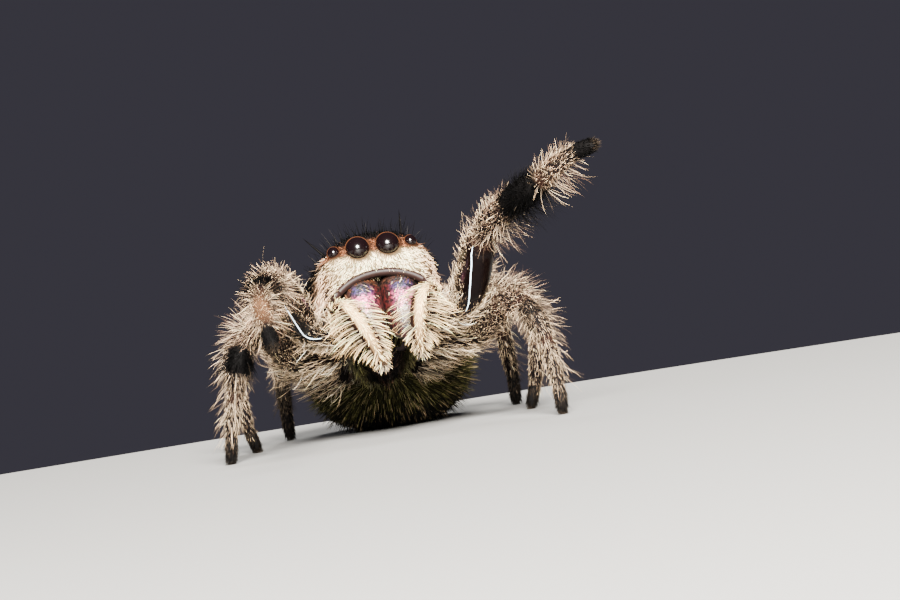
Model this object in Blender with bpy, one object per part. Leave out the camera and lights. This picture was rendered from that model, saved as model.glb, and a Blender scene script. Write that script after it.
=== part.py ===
"""A female regal jumping spider that stands with one foreleg raised, life size.

The animal is 59 closed solids, one for each part a person would name.  They give
its outline out to the tips of the coat, and the hairs themselves are not modelled.

Lengths are in millimetres up to the last step, place_parts, which turns every mesh
to metres and sets the origin on the floor under the middle of the whole animal.
World axes: +Z is up, the floor is Z = 0, the spider looks along -Y and its left
side is +X.
"""

import math

import bmesh
import bpy
import numpy as np

MM = 0.001          # metres in a millimetre
GAP = 0.03          # space between two solids that meet
LEFT, RIGHT = 1, -1
SIDE_NAMES = {LEFT: "left", RIGHT: "right"}

# ---------------------------------------------------------------- driving sizes

# The front half of the body (prosoma) has its own axes: left, back, up.  Its
# origin is the middle of the carapace, at the height of the carapace's margin.
PROSOMA_CENTRE = (-0.24, 0.0, 3.14)
PROSOMA_PITCH = 25.0        # degrees, nose up
PROSOMA_YAW = 8.0           # degrees, nose to its left

CARAPACE_LENGTH = 5.6
CARAPACE_WIDTH = 4.8
CARAPACE_HEIGHT = 2.4       # above the margin
UNDERSIDE_DEPTH = 1.35      # below the margin

# The hollow that holds the jaws, an egg: its middle and its half sizes
MOUTH_CENTRE = (0.0, -2.75, -0.55)
MOUTH_SIZE = (1.80, 1.15, 1.25)

# eye: (radius, left, back, up) for the one on the left side
EYES = {
    "anterior_median": (0.355, 0.455, -2.60, 1.60),
    "anterior_lateral": (0.180, 1.170, -2.46, 1.66),
    "posterior_median": (0.060, 1.470, -1.45, 1.78),
    "posterior_lateral": (0.175, 1.500, -0.30, 1.86),
}

ABDOMEN_CENTRE = (-0.20, 6.25, 2.02)
ABDOMEN_LENGTH = 7.0
ABDOMEN_WIDTH = 5.4
ABDOMEN_HEIGHT = 4.4

# Legs, first pair to fourth: where the coxa leaves the underside (prosoma axes,
# left side), the way it points from straight ahead, and its slope.
COXA_ROOTS = {1: (1.15, -1.30, -0.54), 2: (1.22, -0.34, -0.68),
              3: (1.18, 0.60, -0.66), 4: (0.95, 1.50, -0.56)}
COXA_HEADINGS = {1: 52.0, 2: 80.0, 3: 98.0, 4: 134.0}
COXA_SLOPES = {1: -0.10, 2: -0.14, 3: 0.03, 4: 0.12}
COXA_LENGTHS = {1: 1.60, 2: 1.55, 3: 1.50, 4: 1.45}     # with the trochanter

SEGMENTS = ("femur", "patella", "tibia", "metatarsus", "tarsus")
LEG_LENGTHS = {1: (2.80, 1.85, 1.90, 1.45, 1.00),
               2: (2.40, 1.40, 1.35, 1.40, 0.95),
               3: (2.30, 1.25, 1.35, 1.45, 0.90),
               4: (2.85, 1.45, 1.95, 1.95, 1.00)}

# Half width of the first leg at its joints, from coxa root to tip, and how much
# each segment swells between them.  The other legs are these sizes times a factor.
JOINT_RADII = (0.40, 0.48, 0.47, 0.47, 0.42, 0.33, 0.25)
SWELLING = (0.10, 0.06, 0.10, 0.09, 0.05)
LEG_THICKNESS = {1: 1.00, 2: 0.90, 3: 0.82, 4: 0.88}
DEPTH_TO_WIDTH = 1.14
LEG_SIDES = 9

# Raised forelegs: the (heading, climb) of each segment in degrees.  Heading turns
# from straight ahead to the leg's own side.
RAISED = {
    LEFT: ((26, 50), (30, 22), (30, 15), (58, 29), (52, 10)),
    RIGHT: ((14, 36), (12, -2), (4, -10), (-6, -30), (-10, -40)),
}
# Standing legs: foot (to its own side, back), the lean of the leg's plane, and the
# bends after femur, tibia and metatarsus.  The bend after the patella follows.
STANDING = {
    (2, RIGHT): ((5.10, -3.50), 25.0, (50.0, 8.0, 8.0)),
    (2, LEFT): ((4.80, -4.85), 0.0, (34.0, 30.0, 10.0)),
    (3, RIGHT): ((4.45, 1.50), -8.0, (62.0, 22.0, 10.0)),
    (3, LEFT): ((3.95, 2.00), -8.0, (62.0, 22.0, 10.0)),
    (4, RIGHT): ((3.60, 6.90), 4.0, (48.0, 12.0, 10.0)),
    (4, LEFT): ((3.60, 6.90), 8.0, (48.0, 12.0, 10.0)),
}

COAT_TAN = (0.42, 0.33, 0.24)
COAT_CREAM = (0.78, 0.68, 0.54)
COAT_BLACK = (0.02, 0.018, 0.018)
COAT_OLIVE = (0.20, 0.17, 0.11)
EYE_BLACK = (0.006, 0.005, 0.006)
CHELICERA_VIOLET = (0.16, 0.10, 0.22)
FANG_BROWN = (0.08, 0.02, 0.015)


# ------------------------------------------------------------------- small maths

def unit(v):
    """A vector's direction, as a vector of length 1."""
    return v / np.linalg.norm(v)


def prosoma_axes():
    """The prosoma's left, back and up axes as the columns of a matrix."""
    pitch, yaw = math.radians(-PROSOMA_PITCH), math.radians(PROSOMA_YAW)
    nod = np.array([[1, 0, 0],
                    [0, math.cos(pitch), -math.sin(pitch)],
                    [0, math.sin(pitch), math.cos(pitch)]])
    turn = np.array([[math.cos(yaw), -math.sin(yaw), 0],
                     [math.sin(yaw), math.cos(yaw), 0],
                     [0, 0, 1]])
    return turn @ nod


def from_prosoma(points):
    """Points in the prosoma's axes, taken to the world."""
    return np.asarray(points, float) @ prosoma_axes().T + PROSOMA_CENTRE


def heading(turn, climb, side):
    """The direction that turns from straight ahead to one side, and climbs."""
    a, c = math.radians(turn), math.radians(climb)
    return np.array([side * math.sin(a) * math.cos(c), -math.cos(a) * math.cos(c), math.sin(c)])


# ------------------------------------------------------------------ mesh helpers

def mesh_from_rings(name, rings):
    """A closed mesh through rings of points, with a flat cap on each end."""
    count, sides = rings.shape[:2]
    faces = [tuple(range(sides)), tuple(range((count - 1) * sides, count * sides))]
    for ring in range(count - 1):
        for k in range(sides):
            after = (k + 1) % sides
            low, high = ring * sides, (ring + 1) * sides
            faces.append((low + k, low + after, high + after, high + k))
    mesh = bpy.data.meshes.new(name)
    mesh.from_pydata(rings.reshape(-1, 3).tolist(), [], faces)
    return face_outwards(mesh)


def face_outwards(mesh):
    """The mesh with all its faces turned to point out of the solid."""
    bm = bmesh.new()
    bm.from_mesh(mesh)
    bmesh.ops.recalc_face_normals(bm, faces=bm.faces)
    if bm.calc_volume(signed=True) < 0:
        bmesh.ops.reverse_faces(bm, faces=bm.faces)
    bm.to_mesh(mesh)
    bm.free()
    return mesh


def oval(centre, across, upright, half_width, half_depth, sides):
    """One ring: an ellipse about a centre in the plane of two directions."""
    angles = np.arange(sides) * 2 * np.pi / sides
    flat = np.outer(np.cos(angles) * half_width, across)
    return centre + flat + np.outer(np.sin(angles) * half_depth, upright)


def swept(name, centres, tangents, lateral, half_widths, half_depths, sides):
    """A solid of oval rings along a path; lateral is the side axis of them all."""
    rings = []
    for centre, tangent, width, depth in zip(centres, tangents, half_widths, half_depths):
        tangent = unit(tangent)
        across = unit(lateral - (lateral @ tangent) * tangent)
        upright = np.cross(tangent, across)
        rings.append(oval(centre, across, upright, width, depth, sides))
    return mesh_from_rings(name, np.array(rings))


def inflated(mesh, by):
    """A copy of a mesh with its surface moved outwards along its normals."""
    copy = mesh.copy()
    moved = [v.co + v.normal * by for v in copy.vertices]
    for vertex, place in zip(copy.vertices, moved):
        vertex.co = place
    return copy


def carved(mesh, *cutters):
    """A mesh with other meshes, each grown by the gap, cut away from it."""
    name = mesh.name
    mesh.name = f"{name}_uncut"
    solid = bpy.data.objects.new("carved", mesh)
    bpy.context.collection.objects.link(solid)
    tools = []
    for cutter in cutters:
        tool = bpy.data.objects.new("cutter", inflated(cutter, GAP))
        bpy.context.collection.objects.link(tool)
        tools.append(tool)
        modifier = solid.modifiers.new("cut", "BOOLEAN")
        modifier.operation = "DIFFERENCE"
        modifier.solver = "EXACT"
        modifier.object = tool
    graph = bpy.context.evaluated_depsgraph_get()
    result = bpy.data.meshes.new_from_object(solid.evaluated_get(graph))
    for spare in (solid, *tools):
        bpy.data.objects.remove(spare)
    result.name = name
    return largest_piece(result)


def largest_piece(mesh):
    """A mesh with only its largest connected piece left, for slivers of a cut."""
    bm = bmesh.new()
    bm.from_mesh(mesh)
    seen, pieces = set(), []
    for start in bm.verts:
        if start in seen:
            continue
        piece, edge_of_piece = {start}, [start]
        while edge_of_piece:
            vertex = edge_of_piece.pop()
            near = {e.other_vert(vertex) for e in vertex.link_edges} - piece
            piece |= near
            edge_of_piece.extend(near)
        seen |= piece
        pieces.append(piece)
    for piece in sorted(pieces, key=len)[:-1]:
        bmesh.ops.delete(bm, geom=list(piece), context="VERTS")
    bm.to_mesh(mesh)
    bm.free()
    return mesh


# -------------------------------------------------------------------------- body

def carapace():
    """The shield over the front half: a box-like head that slopes away behind."""
    sides, front_round, rear_round = 18, 0.12, 0.30
    stations = np.concatenate([front_round * np.array([0.01, 0.06, 0.2, 0.45, 1.0]),
                               np.linspace(0.22, 1 - rear_round, 5),
                               1 - rear_round * np.array([0.62, 0.32, 0.12, 0.02])])
    rings = []
    for s in stations:
        front = min(s / front_round, 1.0)
        rear = min((1 - s) / rear_round, 1.0)
        shrink = (1 - (1 - front) ** 3.0) ** (1 / 3.0) * (1 - (1 - rear) ** 2.2) ** (1 / 2.2)
        width = 0.5 * CARAPACE_WIDTH * (0.77 + 0.23 * math.sin(math.pi * min(s / 1.1, 1.0)) ** 1.2)
        crown = CARAPACE_HEIGHT * (1 - 0.10 * max(0.0, 1 - s / 0.35) ** 2
                                   - 0.66 * max(0.0, (s - 0.42) / 0.58) ** 1.5)
        middle = 1.05 * (1 - max(0.0, (s - 0.5) / 0.5))
        angle = np.linspace(0, np.pi, sides)
        x = width * np.sign(np.cos(angle)) * np.abs(np.cos(angle)) ** (2 / 2.4)
        z = crown * np.abs(np.sin(angle)) ** (2 / 2.4)
        z = np.maximum(middle + (z - middle) * shrink, 0.5 * GAP)
        rings.append(np.column_stack([x * shrink, np.full(sides, (s - 0.5) * CARAPACE_LENGTH), z]))
    return mesh_from_rings("carapace", from_prosoma(np.array(rings)))


def mouth_space():
    """The hollow under the face that holds the jaws: its roof is the face's lower edge."""
    bm = bmesh.new()
    bmesh.ops.create_uvsphere(bm, u_segments=18, v_segments=10, radius=1.0)
    places = np.array([v.co for v in bm.verts]) * MOUTH_SIZE + MOUTH_CENTRE
    for vertex, place in zip(bm.verts, from_prosoma(places)):
        vertex.co = place
    mesh = bpy.data.meshes.new("mouth_space")
    bm.to_mesh(mesh)
    bm.free()
    return mesh


def underside():
    """The breastplate with the mouthparts' bases: half an egg under the margin."""
    sides, half_length, half_width = 14, 2.25, 1.18
    rings = []
    for t in np.sin(np.linspace(-1, 1, 9) * 0.47 * np.pi):
        size = math.sqrt(1 - t * t)
        angle = np.linspace(0, np.pi, sides)
        x = half_width * size * np.cos(angle)
        z = -0.5 * GAP - UNDERSIDE_DEPTH * size ** 0.7 * np.sin(angle)
        rings.append(np.column_stack([x, np.full(sides, 0.15 + half_length * t), z]))
    return mesh_from_rings("underside", from_prosoma(np.array(rings)))


def abdomen():
    """The egg-shaped hind half, flattened where it rests on the floor."""
    sides, roundness = 20, 2.35
    rings = []
    for t in -np.cos(np.linspace(0.05, 0.97, 15) * np.pi):
        plump = (1 - abs(t) ** 2.3) ** (1 / 2.3) * (1 - 0.10 * t)
        angle = np.arange(sides) * 2 * np.pi / sides
        cos, sin = np.cos(angle), np.sin(angle)
        x = 0.5 * ABDOMEN_WIDTH * plump * np.sign(cos) * np.abs(cos) ** (2 / roundness)
        z = 0.5 * ABDOMEN_HEIGHT * plump * np.sign(sin) * np.abs(sin) ** (2 / roundness)
        y = np.full(sides, 0.5 * ABDOMEN_LENGTH * t)
        rings.append(np.column_stack([x, y, z]) + ABDOMEN_CENTRE - np.array([0, 0, 0.25 * t * t]))
    rings = np.array(rings)
    rings[..., 2] = np.maximum(rings[..., 2], 0)
    return mesh_from_rings("abdomen", rings)


def pedicel():
    """The narrow waist that joins the two halves of the body."""
    start = from_prosoma((0, 2.28, -0.25))
    end = np.array([ABDOMEN_CENTRE[0], ABDOMEN_CENTRE[1] - 0.40 * ABDOMEN_LENGTH, 1.75])
    centres = [start + (end - start) * t for t in (0, 0.5, 1)]
    along = [end - start] * 3
    return swept("pedicel", centres, along, np.array([1.0, 0, 0]), (0.30,) * 3, (0.30,) * 3, 10)


def spinnerets():
    """The short blunt cone of spinnerets at the rear tip."""
    tip = np.array(ABDOMEN_CENTRE) + (0, 0.5 * ABDOMEN_LENGTH, -0.55)
    along = np.array([0, 1.0, -0.15])
    steps = (-0.75, -0.2, 0.15, 0.40, 0.52)
    widths = (0.50, 0.46, 0.36, 0.24, 0.10)
    centres = [tip + along * step for step in steps]
    return swept("spinnerets", centres, [along] * 5, np.array([1.0, 0, 0]), widths,
                 [0.8 * w for w in widths], 12)


def eye(name, side):
    """One eye: a ball whose front bulges from the face."""
    radius, left, back, up = EYES[name]
    detail = 12 if radius > 0.3 else 10 if radius > 0.1 else 6
    bm = bmesh.new()
    bmesh.ops.create_uvsphere(bm, u_segments=detail, v_segments=detail // 2 + 1, radius=radius)
    centre = from_prosoma((side * left, back, up))
    bmesh.ops.translate(bm, vec=centre.tolist(), verts=bm.verts)
    mesh = bpy.data.meshes.new(f"eye_{name}_{SIDE_NAMES[side]}")
    bm.to_mesh(mesh)
    bm.free()
    return mesh


# --------------------------------------------------------------------- mouthparts

def chelicera(side):
    """One jaw: a stout column that hangs from under the face."""
    path = np.array([(0.56, -1.95, 0.72), (0.58, -2.12, 0.45), (0.59, -2.22, 0.0),
                     (0.58, -2.20, -0.55), (0.55, -2.10, -1.05), (0.52, -2.02, -1.30)])
    widths = (0.38, 0.50, 0.53, 0.50, 0.40, 0.24)
    depths = (0.38, 0.52, 0.58, 0.54, 0.42, 0.24)
    centres = from_prosoma(path * (side, 1, 1))
    tangents = np.gradient(centres, axis=0)
    return swept(f"chelicera_{SIDE_NAMES[side]}", centres, tangents, prosoma_axes()[:, 0],
                 widths, depths, 14)


def fang(side):
    """One fang: a curved claw folded inwards under the jaw."""
    sweep = np.linspace(0, 1, 6)
    path = np.column_stack([0.62 - 0.55 * sweep, np.full(6, -1.98),
                            -1.38 - 0.22 * np.sin(np.pi * sweep)])
    widths = 0.13 * (1 - 0.8 * sweep)
    centres = from_prosoma(path * (side, 1, 1))
    return swept(f"fang_{SIDE_NAMES[side]}", centres, np.gradient(centres, axis=0),
                 prosoma_axes()[:, 1], widths, widths, 8)


PALP_PATHS = {
    # root, knee and the feathered end of each palp, in world axes
    LEFT: ((0.86, -1.95, 2.85), (1.36, -2.95, 3.50), (1.50, -3.62, 4.15), (1.18, -3.88, 3.95),
           (1.02, -3.86, 3.20), (0.95, -3.62, 2.34)),
    RIGHT: ((-0.78, -2.10, 2.85), (-1.28, -3.05, 3.40), (-1.22, -3.62, 4.05), (-0.80, -3.88, 3.78),
            (-0.42, -3.86, 3.00), (-0.16, -3.62, 2.12)),
}


def palp(side):
    """One palp: a short feeler with a feathered end that hangs before the jaws."""
    points = np.array(PALP_PATHS[side])
    path = smooth_path(points, 2)
    along = np.linspace(0, 1, len(path))
    widths = np.interp(along, (0, 0.25, 0.45, 0.65, 0.85, 1), (0.26, 0.34, 0.56, 0.66, 0.56, 0.24))
    depths = np.interp(along, (0, 0.25, 0.45, 0.65, 0.85, 1), (0.26, 0.32, 0.36, 0.36, 0.34, 0.20))
    return swept(f"palp_{SIDE_NAMES[side]}", path, np.gradient(path, axis=0),
                 np.array([1.0, 0, 0]), widths, depths, 10)


def smooth_path(points, steps):
    """A Catmull-Rom curve through points, with a few steps between each two."""
    ends = np.vstack([2 * points[0] - points[1], points, 2 * points[-1] - points[-2]])
    path = []
    for a, b, c, d in zip(ends, ends[1:], ends[2:], ends[3:]):
        for t in np.arange(steps) / steps:
            path.append(0.5 * (2 * b + (c - a) * t + (2 * a - 5 * b + 4 * c - d) * t ** 2
                               + (3 * b - a - 3 * c + d) * t ** 3))
    return np.array(path + [points[-1]])


# --------------------------------------------------------------------------- legs

def coxa_joints(leg, side):
    """The root of a leg and the far end of its coxa, in the world."""
    root = np.array(COXA_ROOTS[leg]) * (side, 1, 1)
    turn = math.radians(COXA_HEADINGS[leg])
    way = unit(np.array([side * math.sin(turn), -math.cos(turn), COXA_SLOPES[leg]]))
    return from_prosoma(root), from_prosoma(root + COXA_LENGTHS[leg] * way)


def bent_chain(lengths, bends):
    """Joints of a chain in its own plane that starts along +X and bends down."""
    slope, joints = 0.0, [np.zeros(2)]
    for length, bend in zip(lengths, (0.0, *bends)):
        slope -= math.radians(bend)
        joints.append(joints[-1] + length * np.array([math.cos(slope), math.sin(slope)]))
    return np.array(joints)


def turned(joints, angle):
    """Flat joints turned about the origin."""
    c, s = math.cos(angle), math.sin(angle)
    return joints @ np.array([[c, s], [-s, c]])


def standing_joints(leg, side):
    """Joints of a leg whose foot is on the floor, and the side axis of its plane.

    Femur and patella are one arm, tibia to tarsus the other.  The law of cosines
    gives the angle at which the two arms span the way from coxa to foot.
    """
    (foot_out, foot_back), lean, (knee, wrist, ankle) = STANDING[leg, side]
    root, start = coxa_joints(leg, side)
    foot = np.array([side * foot_out, foot_back, 0.0])
    span = float(np.linalg.norm(foot - start))
    chord = (foot - start) / span
    up = unit(np.array([0, 0, 1.0]) - chord[2] * chord)
    tilt = math.radians(lean)
    rise = math.cos(tilt) * up + math.sin(tilt) * np.cross(chord, up) * side
    upper = bent_chain(LEG_LENGTHS[leg][:2], (knee,))
    lower = bent_chain(LEG_LENGTHS[leg][2:], (wrist, ankle))
    a, b = np.linalg.norm(upper[-1]), np.linalg.norm(lower[-1])
    lift = math.acos((a * a + span * span - b * b) / (2 * a * span))
    upper = turned(upper, lift - math.atan2(upper[-1][1], upper[-1][0]))
    rest = np.array([span, 0.0]) - upper[-1]
    swing = math.atan2(rest[1], rest[0]) - math.atan2(lower[-1][1], lower[-1][0])
    lower = turned(lower, swing) + upper[-1]
    flat = np.vstack([upper, lower[1:]])
    joints = start + np.outer(flat[:, 0], chord) + np.outer(flat[:, 1], rise)
    return np.vstack([root, joints]), np.cross(chord, rise)


def raised_joints(side):
    """Joints of a foreleg held in the air, and the side axis of its plane."""
    root, start = coxa_joints(1, side)
    ways = [heading(turn, climb, side) for turn, climb in RAISED[side]]
    steps = np.outer(LEG_LENGTHS[1], (1, 1, 1)) * np.array(ways)
    joints = np.vstack([root, start, start + np.cumsum(steps, axis=0)])
    return joints, unit(np.cross(ways[0], ways[2]) + np.array([0, 0, 1e-3]))


def leg_joints(leg, side):
    """Seven joints from root to tip, and the leg's side axis."""
    return raised_joints(side) if leg == 1 else standing_joints(leg, side)


def corner(joints, k, reach, part):
    """A point and a tangent on the rounded bend at joint k.

    The bend is a quadratic Bezier from reach before the joint to reach after it,
    and part runs from 0 to 1 along it, with the joint's middle at 0.5.
    """
    before = unit(joints[k] - joints[k - 1])
    after = unit(joints[k + 1] - joints[k])
    u = part
    point = joints[k] - before * reach * (1 - u) ** 2 + after * reach * u ** 2
    return point, before * (1 - u) + after * u


def segment(name, joints, lateral, first, last, radii, swelling, on_floor):
    """One leg segment between the middles of its two bends, as a swept solid.

    first and last are its joints.  The femur starts at the coxa's root, and so
    passes through the bend at joint 1 as well.
    """
    spans = np.linalg.norm(np.diff(joints, axis=0), axis=1)
    reach = [0.0] + [0.42 * min(spans[k - 1], spans[k]) for k in range(1, 6)] + [0.0]
    places = []
    for k in range(first, last + 1):
        if k in (0, 6):
            way = joints[1] - joints[0] if k == 0 else joints[6] - joints[5]
            places.append((joints[k], way, k))
            continue
        parts = (0.5, 0.75, 1) if k == first else (0, 0.25, 0.5) if k == last else (0, 0.3, 0.7, 1)
        places += [(*corner(joints, k, reach[k], u), k + (u - 0.5) * 0.5) for u in parts]
        if k < last or k == first:
            middle = 0.5 * (joints[k] + joints[k + 1])
            places.append((middle, joints[k + 1] - joints[k], k + 0.5))
    centres = np.array([p[0] for p in places])
    tangents = np.array([unit(p[1]) for p in places])
    at = np.array([p[2] for p in places])
    along = (at - max(first, 1)) / (last - max(first, 1))
    widths = np.interp(at, range(7), radii)
    widths = widths + swelling * np.clip(4 * along * (1 - along), 0, 1)
    if first > 0:
        centres[0] += tangents[0] * 0.5 * GAP
    if last < 6:
        centres[-1] -= tangents[-1] * 0.5 * GAP
    elif not on_floor:
        tip = centres[-1] + np.outer((0.0, 0.6, 0.9), tangents[-1]) * widths[-1]
        centres = np.vstack([centres[:-1], tip])
        tangents = np.vstack([tangents, tangents[-1:], tangents[-1:]])
        widths = np.concatenate([widths, widths[-1] * np.array([0.78, 0.4])])
    mesh = swept(name, centres, tangents, lateral, widths, widths * DEPTH_TO_WIDTH, LEG_SIDES)
    if last == 6 and on_floor:
        stand_on_floor(mesh, tangents[-1], LEG_SIDES)
    return mesh


def stand_on_floor(mesh, tangent, sides):
    """The last ring slid along the leg's own direction until it lies on the floor."""
    for vertex in list(mesh.vertices)[-sides:]:
        slide = vertex.co.z / tangent[2]
        vertex.co.x -= slide * tangent[0]
        vertex.co.y -= slide * tangent[1]
        vertex.co.z = 0.0


def leg(number, side):
    """The five solids of one leg; the femur carries the coxa and trochanter."""
    joints, lateral = leg_joints(number, side)
    radii = np.array(JOINT_RADII) * LEG_THICKNESS[number]
    solids = []
    for k, segment_name in enumerate(SEGMENTS):
        first = 0 if k == 0 else k + 1
        name = f"leg_{number}_{SIDE_NAMES[side]}_{segment_name}"
        solids.append(segment(name, joints, lateral, first, k + 2, radii,
                              SWELLING[k] * LEG_THICKNESS[number], number > 1))
    return solids


# ---------------------------------------------------------------------- the whole

def material(name, colour, roughness, metallic=0.0):
    """A plain Principled material."""
    made = bpy.data.materials.new(name)
    made.use_nodes = True
    shader = made.node_tree.nodes["Principled BSDF"]
    shader.inputs["Base Color"].default_value = (*colour, 1)
    shader.inputs["Roughness"].default_value = roughness
    shader.inputs["Metallic"].default_value = metallic
    return made


def finishes():
    """The materials, by the word in a part's name that they belong to."""
    tan = material("coat_tan", COAT_TAN, 0.8)
    black = material("coat_black", COAT_BLACK, 0.6)
    return {
        "carapace": material("coat_cream", COAT_CREAM, 0.8),
        "palp": material("coat_palp", COAT_CREAM, 0.8),
        "underside": black,
        "pedicel": black,
        "abdomen": material("coat_olive", COAT_OLIVE, 0.85),
        "spinnerets": tan,
        "chelicera": material("jaw_violet", CHELICERA_VIOLET, 0.3, 0.5),
        "fang": material("fang_brown", FANG_BROWN, 0.25),
        "eye": material("eye_black", EYE_BLACK, 0.05),
        "femur": black,
        "patella": tan,
        "tibia": black,
        "metatarsus": tan,
        "tarsus": black,
    }


def place_parts(meshes):
    """One object for each mesh, in metres, about the middle of the whole on the floor."""
    corners = np.array([v.co for mesh in meshes for v in mesh.vertices])
    low, high = corners.min(axis=0), corners.max(axis=0)
    middle = np.array([(low[0] + high[0]) / 2, (low[1] + high[1]) / 2, 0.0])
    looks = finishes()
    for mesh in meshes:
        places = (np.array([v.co for v in mesh.vertices]) - middle) * MM
        mesh.vertices.foreach_set("co", places.ravel())
        mesh.update()
        mesh.shade_smooth()
        mesh.materials.clear()
        mesh.materials.append(next(looks[word] for word in looks if word in mesh.name))
        bpy.context.collection.objects.link(bpy.data.objects.new(mesh.name, mesh))


def main():
    """Builds the spider in an empty scene."""
    for old in list(bpy.data.objects):
        bpy.data.objects.remove(old)
    sides = (LEFT, RIGHT)
    belly = underside()
    waist = pedicel()
    eyes = [eye(name, side) for name in EYES for side in sides]
    shield = carved(carapace(), *eyes, mouth_space())
    jaws = [carved(chelicera(side), shield) for side in sides]
    hind = carved(abdomen(), waist)
    palps = [carved(palp(side), belly, *jaws) for side in sides]
    legs = []
    for side in sides:
        ahead = []
        for number in COXA_ROOTS:
            femur, *others = leg(number, side)
            ahead = [carved(femur, belly, carapace(), *jaws, *ahead)]
            legs += [*ahead, *others]
    meshes = [shield, carved(belly, *jaws), carved(waist, belly, carapace()), hind,
              carved(spinnerets(), hind), *eyes, *jaws, *[fang(side) for side in sides],
              *palps, *legs]
    place_parts(meshes)


main()
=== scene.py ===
# %% [markdown]
# # A female regal jumping spider, life size, with one foreleg raised
#
# The solid model gives the outline out to the tips of the coat.  This script gives
# the looks: one dark skin inside that outline, polished eyes and jaws, and about
# eighty thousand separate hairs that follow the lie of the coat.  Shapes are worked
# out in millimetres, as suits so small an animal, and meshes are made in metres.

# %% Load the solid model
import math
from types import SimpleNamespace as Form

import bmesh
import bpy
import numpy as np
from mathutils import Matrix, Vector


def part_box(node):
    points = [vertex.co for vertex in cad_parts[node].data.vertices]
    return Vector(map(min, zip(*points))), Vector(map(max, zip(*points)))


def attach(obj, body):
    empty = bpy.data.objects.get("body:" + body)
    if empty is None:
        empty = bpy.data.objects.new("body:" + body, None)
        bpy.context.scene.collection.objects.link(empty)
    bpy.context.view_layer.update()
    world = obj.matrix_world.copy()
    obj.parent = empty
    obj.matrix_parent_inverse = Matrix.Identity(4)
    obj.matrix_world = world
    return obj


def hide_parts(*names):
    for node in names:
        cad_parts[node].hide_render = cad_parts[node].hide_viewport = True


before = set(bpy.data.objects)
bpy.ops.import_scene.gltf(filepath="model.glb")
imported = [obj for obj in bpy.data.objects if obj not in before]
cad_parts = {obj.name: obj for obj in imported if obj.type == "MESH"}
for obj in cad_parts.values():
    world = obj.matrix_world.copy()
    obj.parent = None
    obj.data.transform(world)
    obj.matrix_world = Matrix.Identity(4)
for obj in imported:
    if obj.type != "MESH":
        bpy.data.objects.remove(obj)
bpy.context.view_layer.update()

MM = 0.001
LEFT, RIGHT = 1, -1
SIDES = {LEFT: "left", RIGHT: "right"}
FORWARD, DOWN = np.array([0, -1.0, 0]), np.array([0, 0, -1.0])

# %% [markdown]
# ## Axes of the front half of the body
#
# The front half (the prosoma) is pitched nose up and turned a little to its left.
# It has its own axes, left, back and up, from the middle of the carapace's margin.
# Everything is placed from the point midway between the two big eyes, which the
# solid model gives.

# %% Prosoma axes
PROSOMA_CENTRE = np.array([-0.24, 0.0, 3.14])
PITCH, YAW = math.radians(25.0), math.radians(8.0)
EYES = {
    # radius, place, and the way the lens looks (left, back, up)
    "anterior_median": (0.355, (0.455, -2.60, 1.60), (0.05, -1.0, -0.16)),
    "anterior_lateral": (0.180, (1.170, -2.46, 1.66), (0.30, -1.0, -0.10)),
    "posterior_median": (0.060, (1.470, -1.45, 1.78), (1.0, -0.5, 0.5)),
    "posterior_lateral": (0.175, (1.500, -0.30, 1.86), (1.0, 0.3, 0.7)),
}
# The three axes as columns: a nod about X, then a turn about Z
AXES = (np.array([[math.cos(YAW), -math.sin(YAW), 0], [math.sin(YAW), math.cos(YAW), 0], [0, 0, 1]])
        @ np.array([[1, 0, 0], [0, math.cos(PITCH), math.sin(PITCH)],
                    [0, -math.sin(PITCH), math.cos(PITCH)]]))


def unit(vectors):
    """Each vector divided by its own length."""
    vectors = np.asarray(vectors, float)
    return vectors / np.maximum(np.linalg.norm(vectors, axis=-1, keepdims=True), 1e-9)


def from_prosoma(points):
    """Prosoma points to the world: turn by the axes, then add the centre."""
    return np.asarray(points, float) @ AXES.T + PROSOMA_CENTRE


eye_corners = np.array([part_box(f"eye_anterior_median_{name}") for name in SIDES.values()])
eye_corners = eye_corners.reshape(-1, 3)
solid_eyes = 0.5 * (eye_corners.min(axis=0) + eye_corners.max(axis=0)) / MM
SHIFT = solid_eyes - from_prosoma((0.0, *EYES["anterior_median"][1][1:]))
print("shift from the skeleton to the model, mm:", SHIFT.round(3))

# %% [markdown]
# ## The skeleton of the legs
#
# Each leg is seven joints from the root of its coxa to its tip.  The two forelegs
# are held in the air, so each of their segments has a heading and a climb.  The
# other six stand: femur and patella are one arm, tibia to tarsus the other, and
# the law of cosines gives the angle at which the two arms reach the foot.

# %% Leg joints
COXAE = {  # root in the prosoma, heading in degrees, slope, length
    1: ((1.15, -1.30, -0.54), 52.0, -0.10, 1.60), 2: ((1.22, -0.34, -0.68), 80.0, -0.14, 1.55),
    3: ((1.18, 0.60, -0.66), 98.0, 0.03, 1.50), 4: ((0.95, 1.50, -0.56), 134.0, 0.12, 1.45)}
SEGMENTS = ("femur", "patella", "tibia", "metatarsus", "tarsus")
LEG_LENGTHS = {1: (2.80, 1.85, 1.90, 1.45, 1.00), 2: (2.40, 1.40, 1.35, 1.40, 0.95),
               3: (2.30, 1.25, 1.35, 1.45, 0.90), 4: (2.85, 1.45, 1.95, 1.95, 1.00)}
RAISED = {  # heading and climb of each segment
    LEFT: ((26, 50), (30, 22), (30, 15), (58, 29), (52, 10)),
    RIGHT: ((14, 36), (12, -2), (4, -10), (-6, -30), (-10, -40))}
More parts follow.
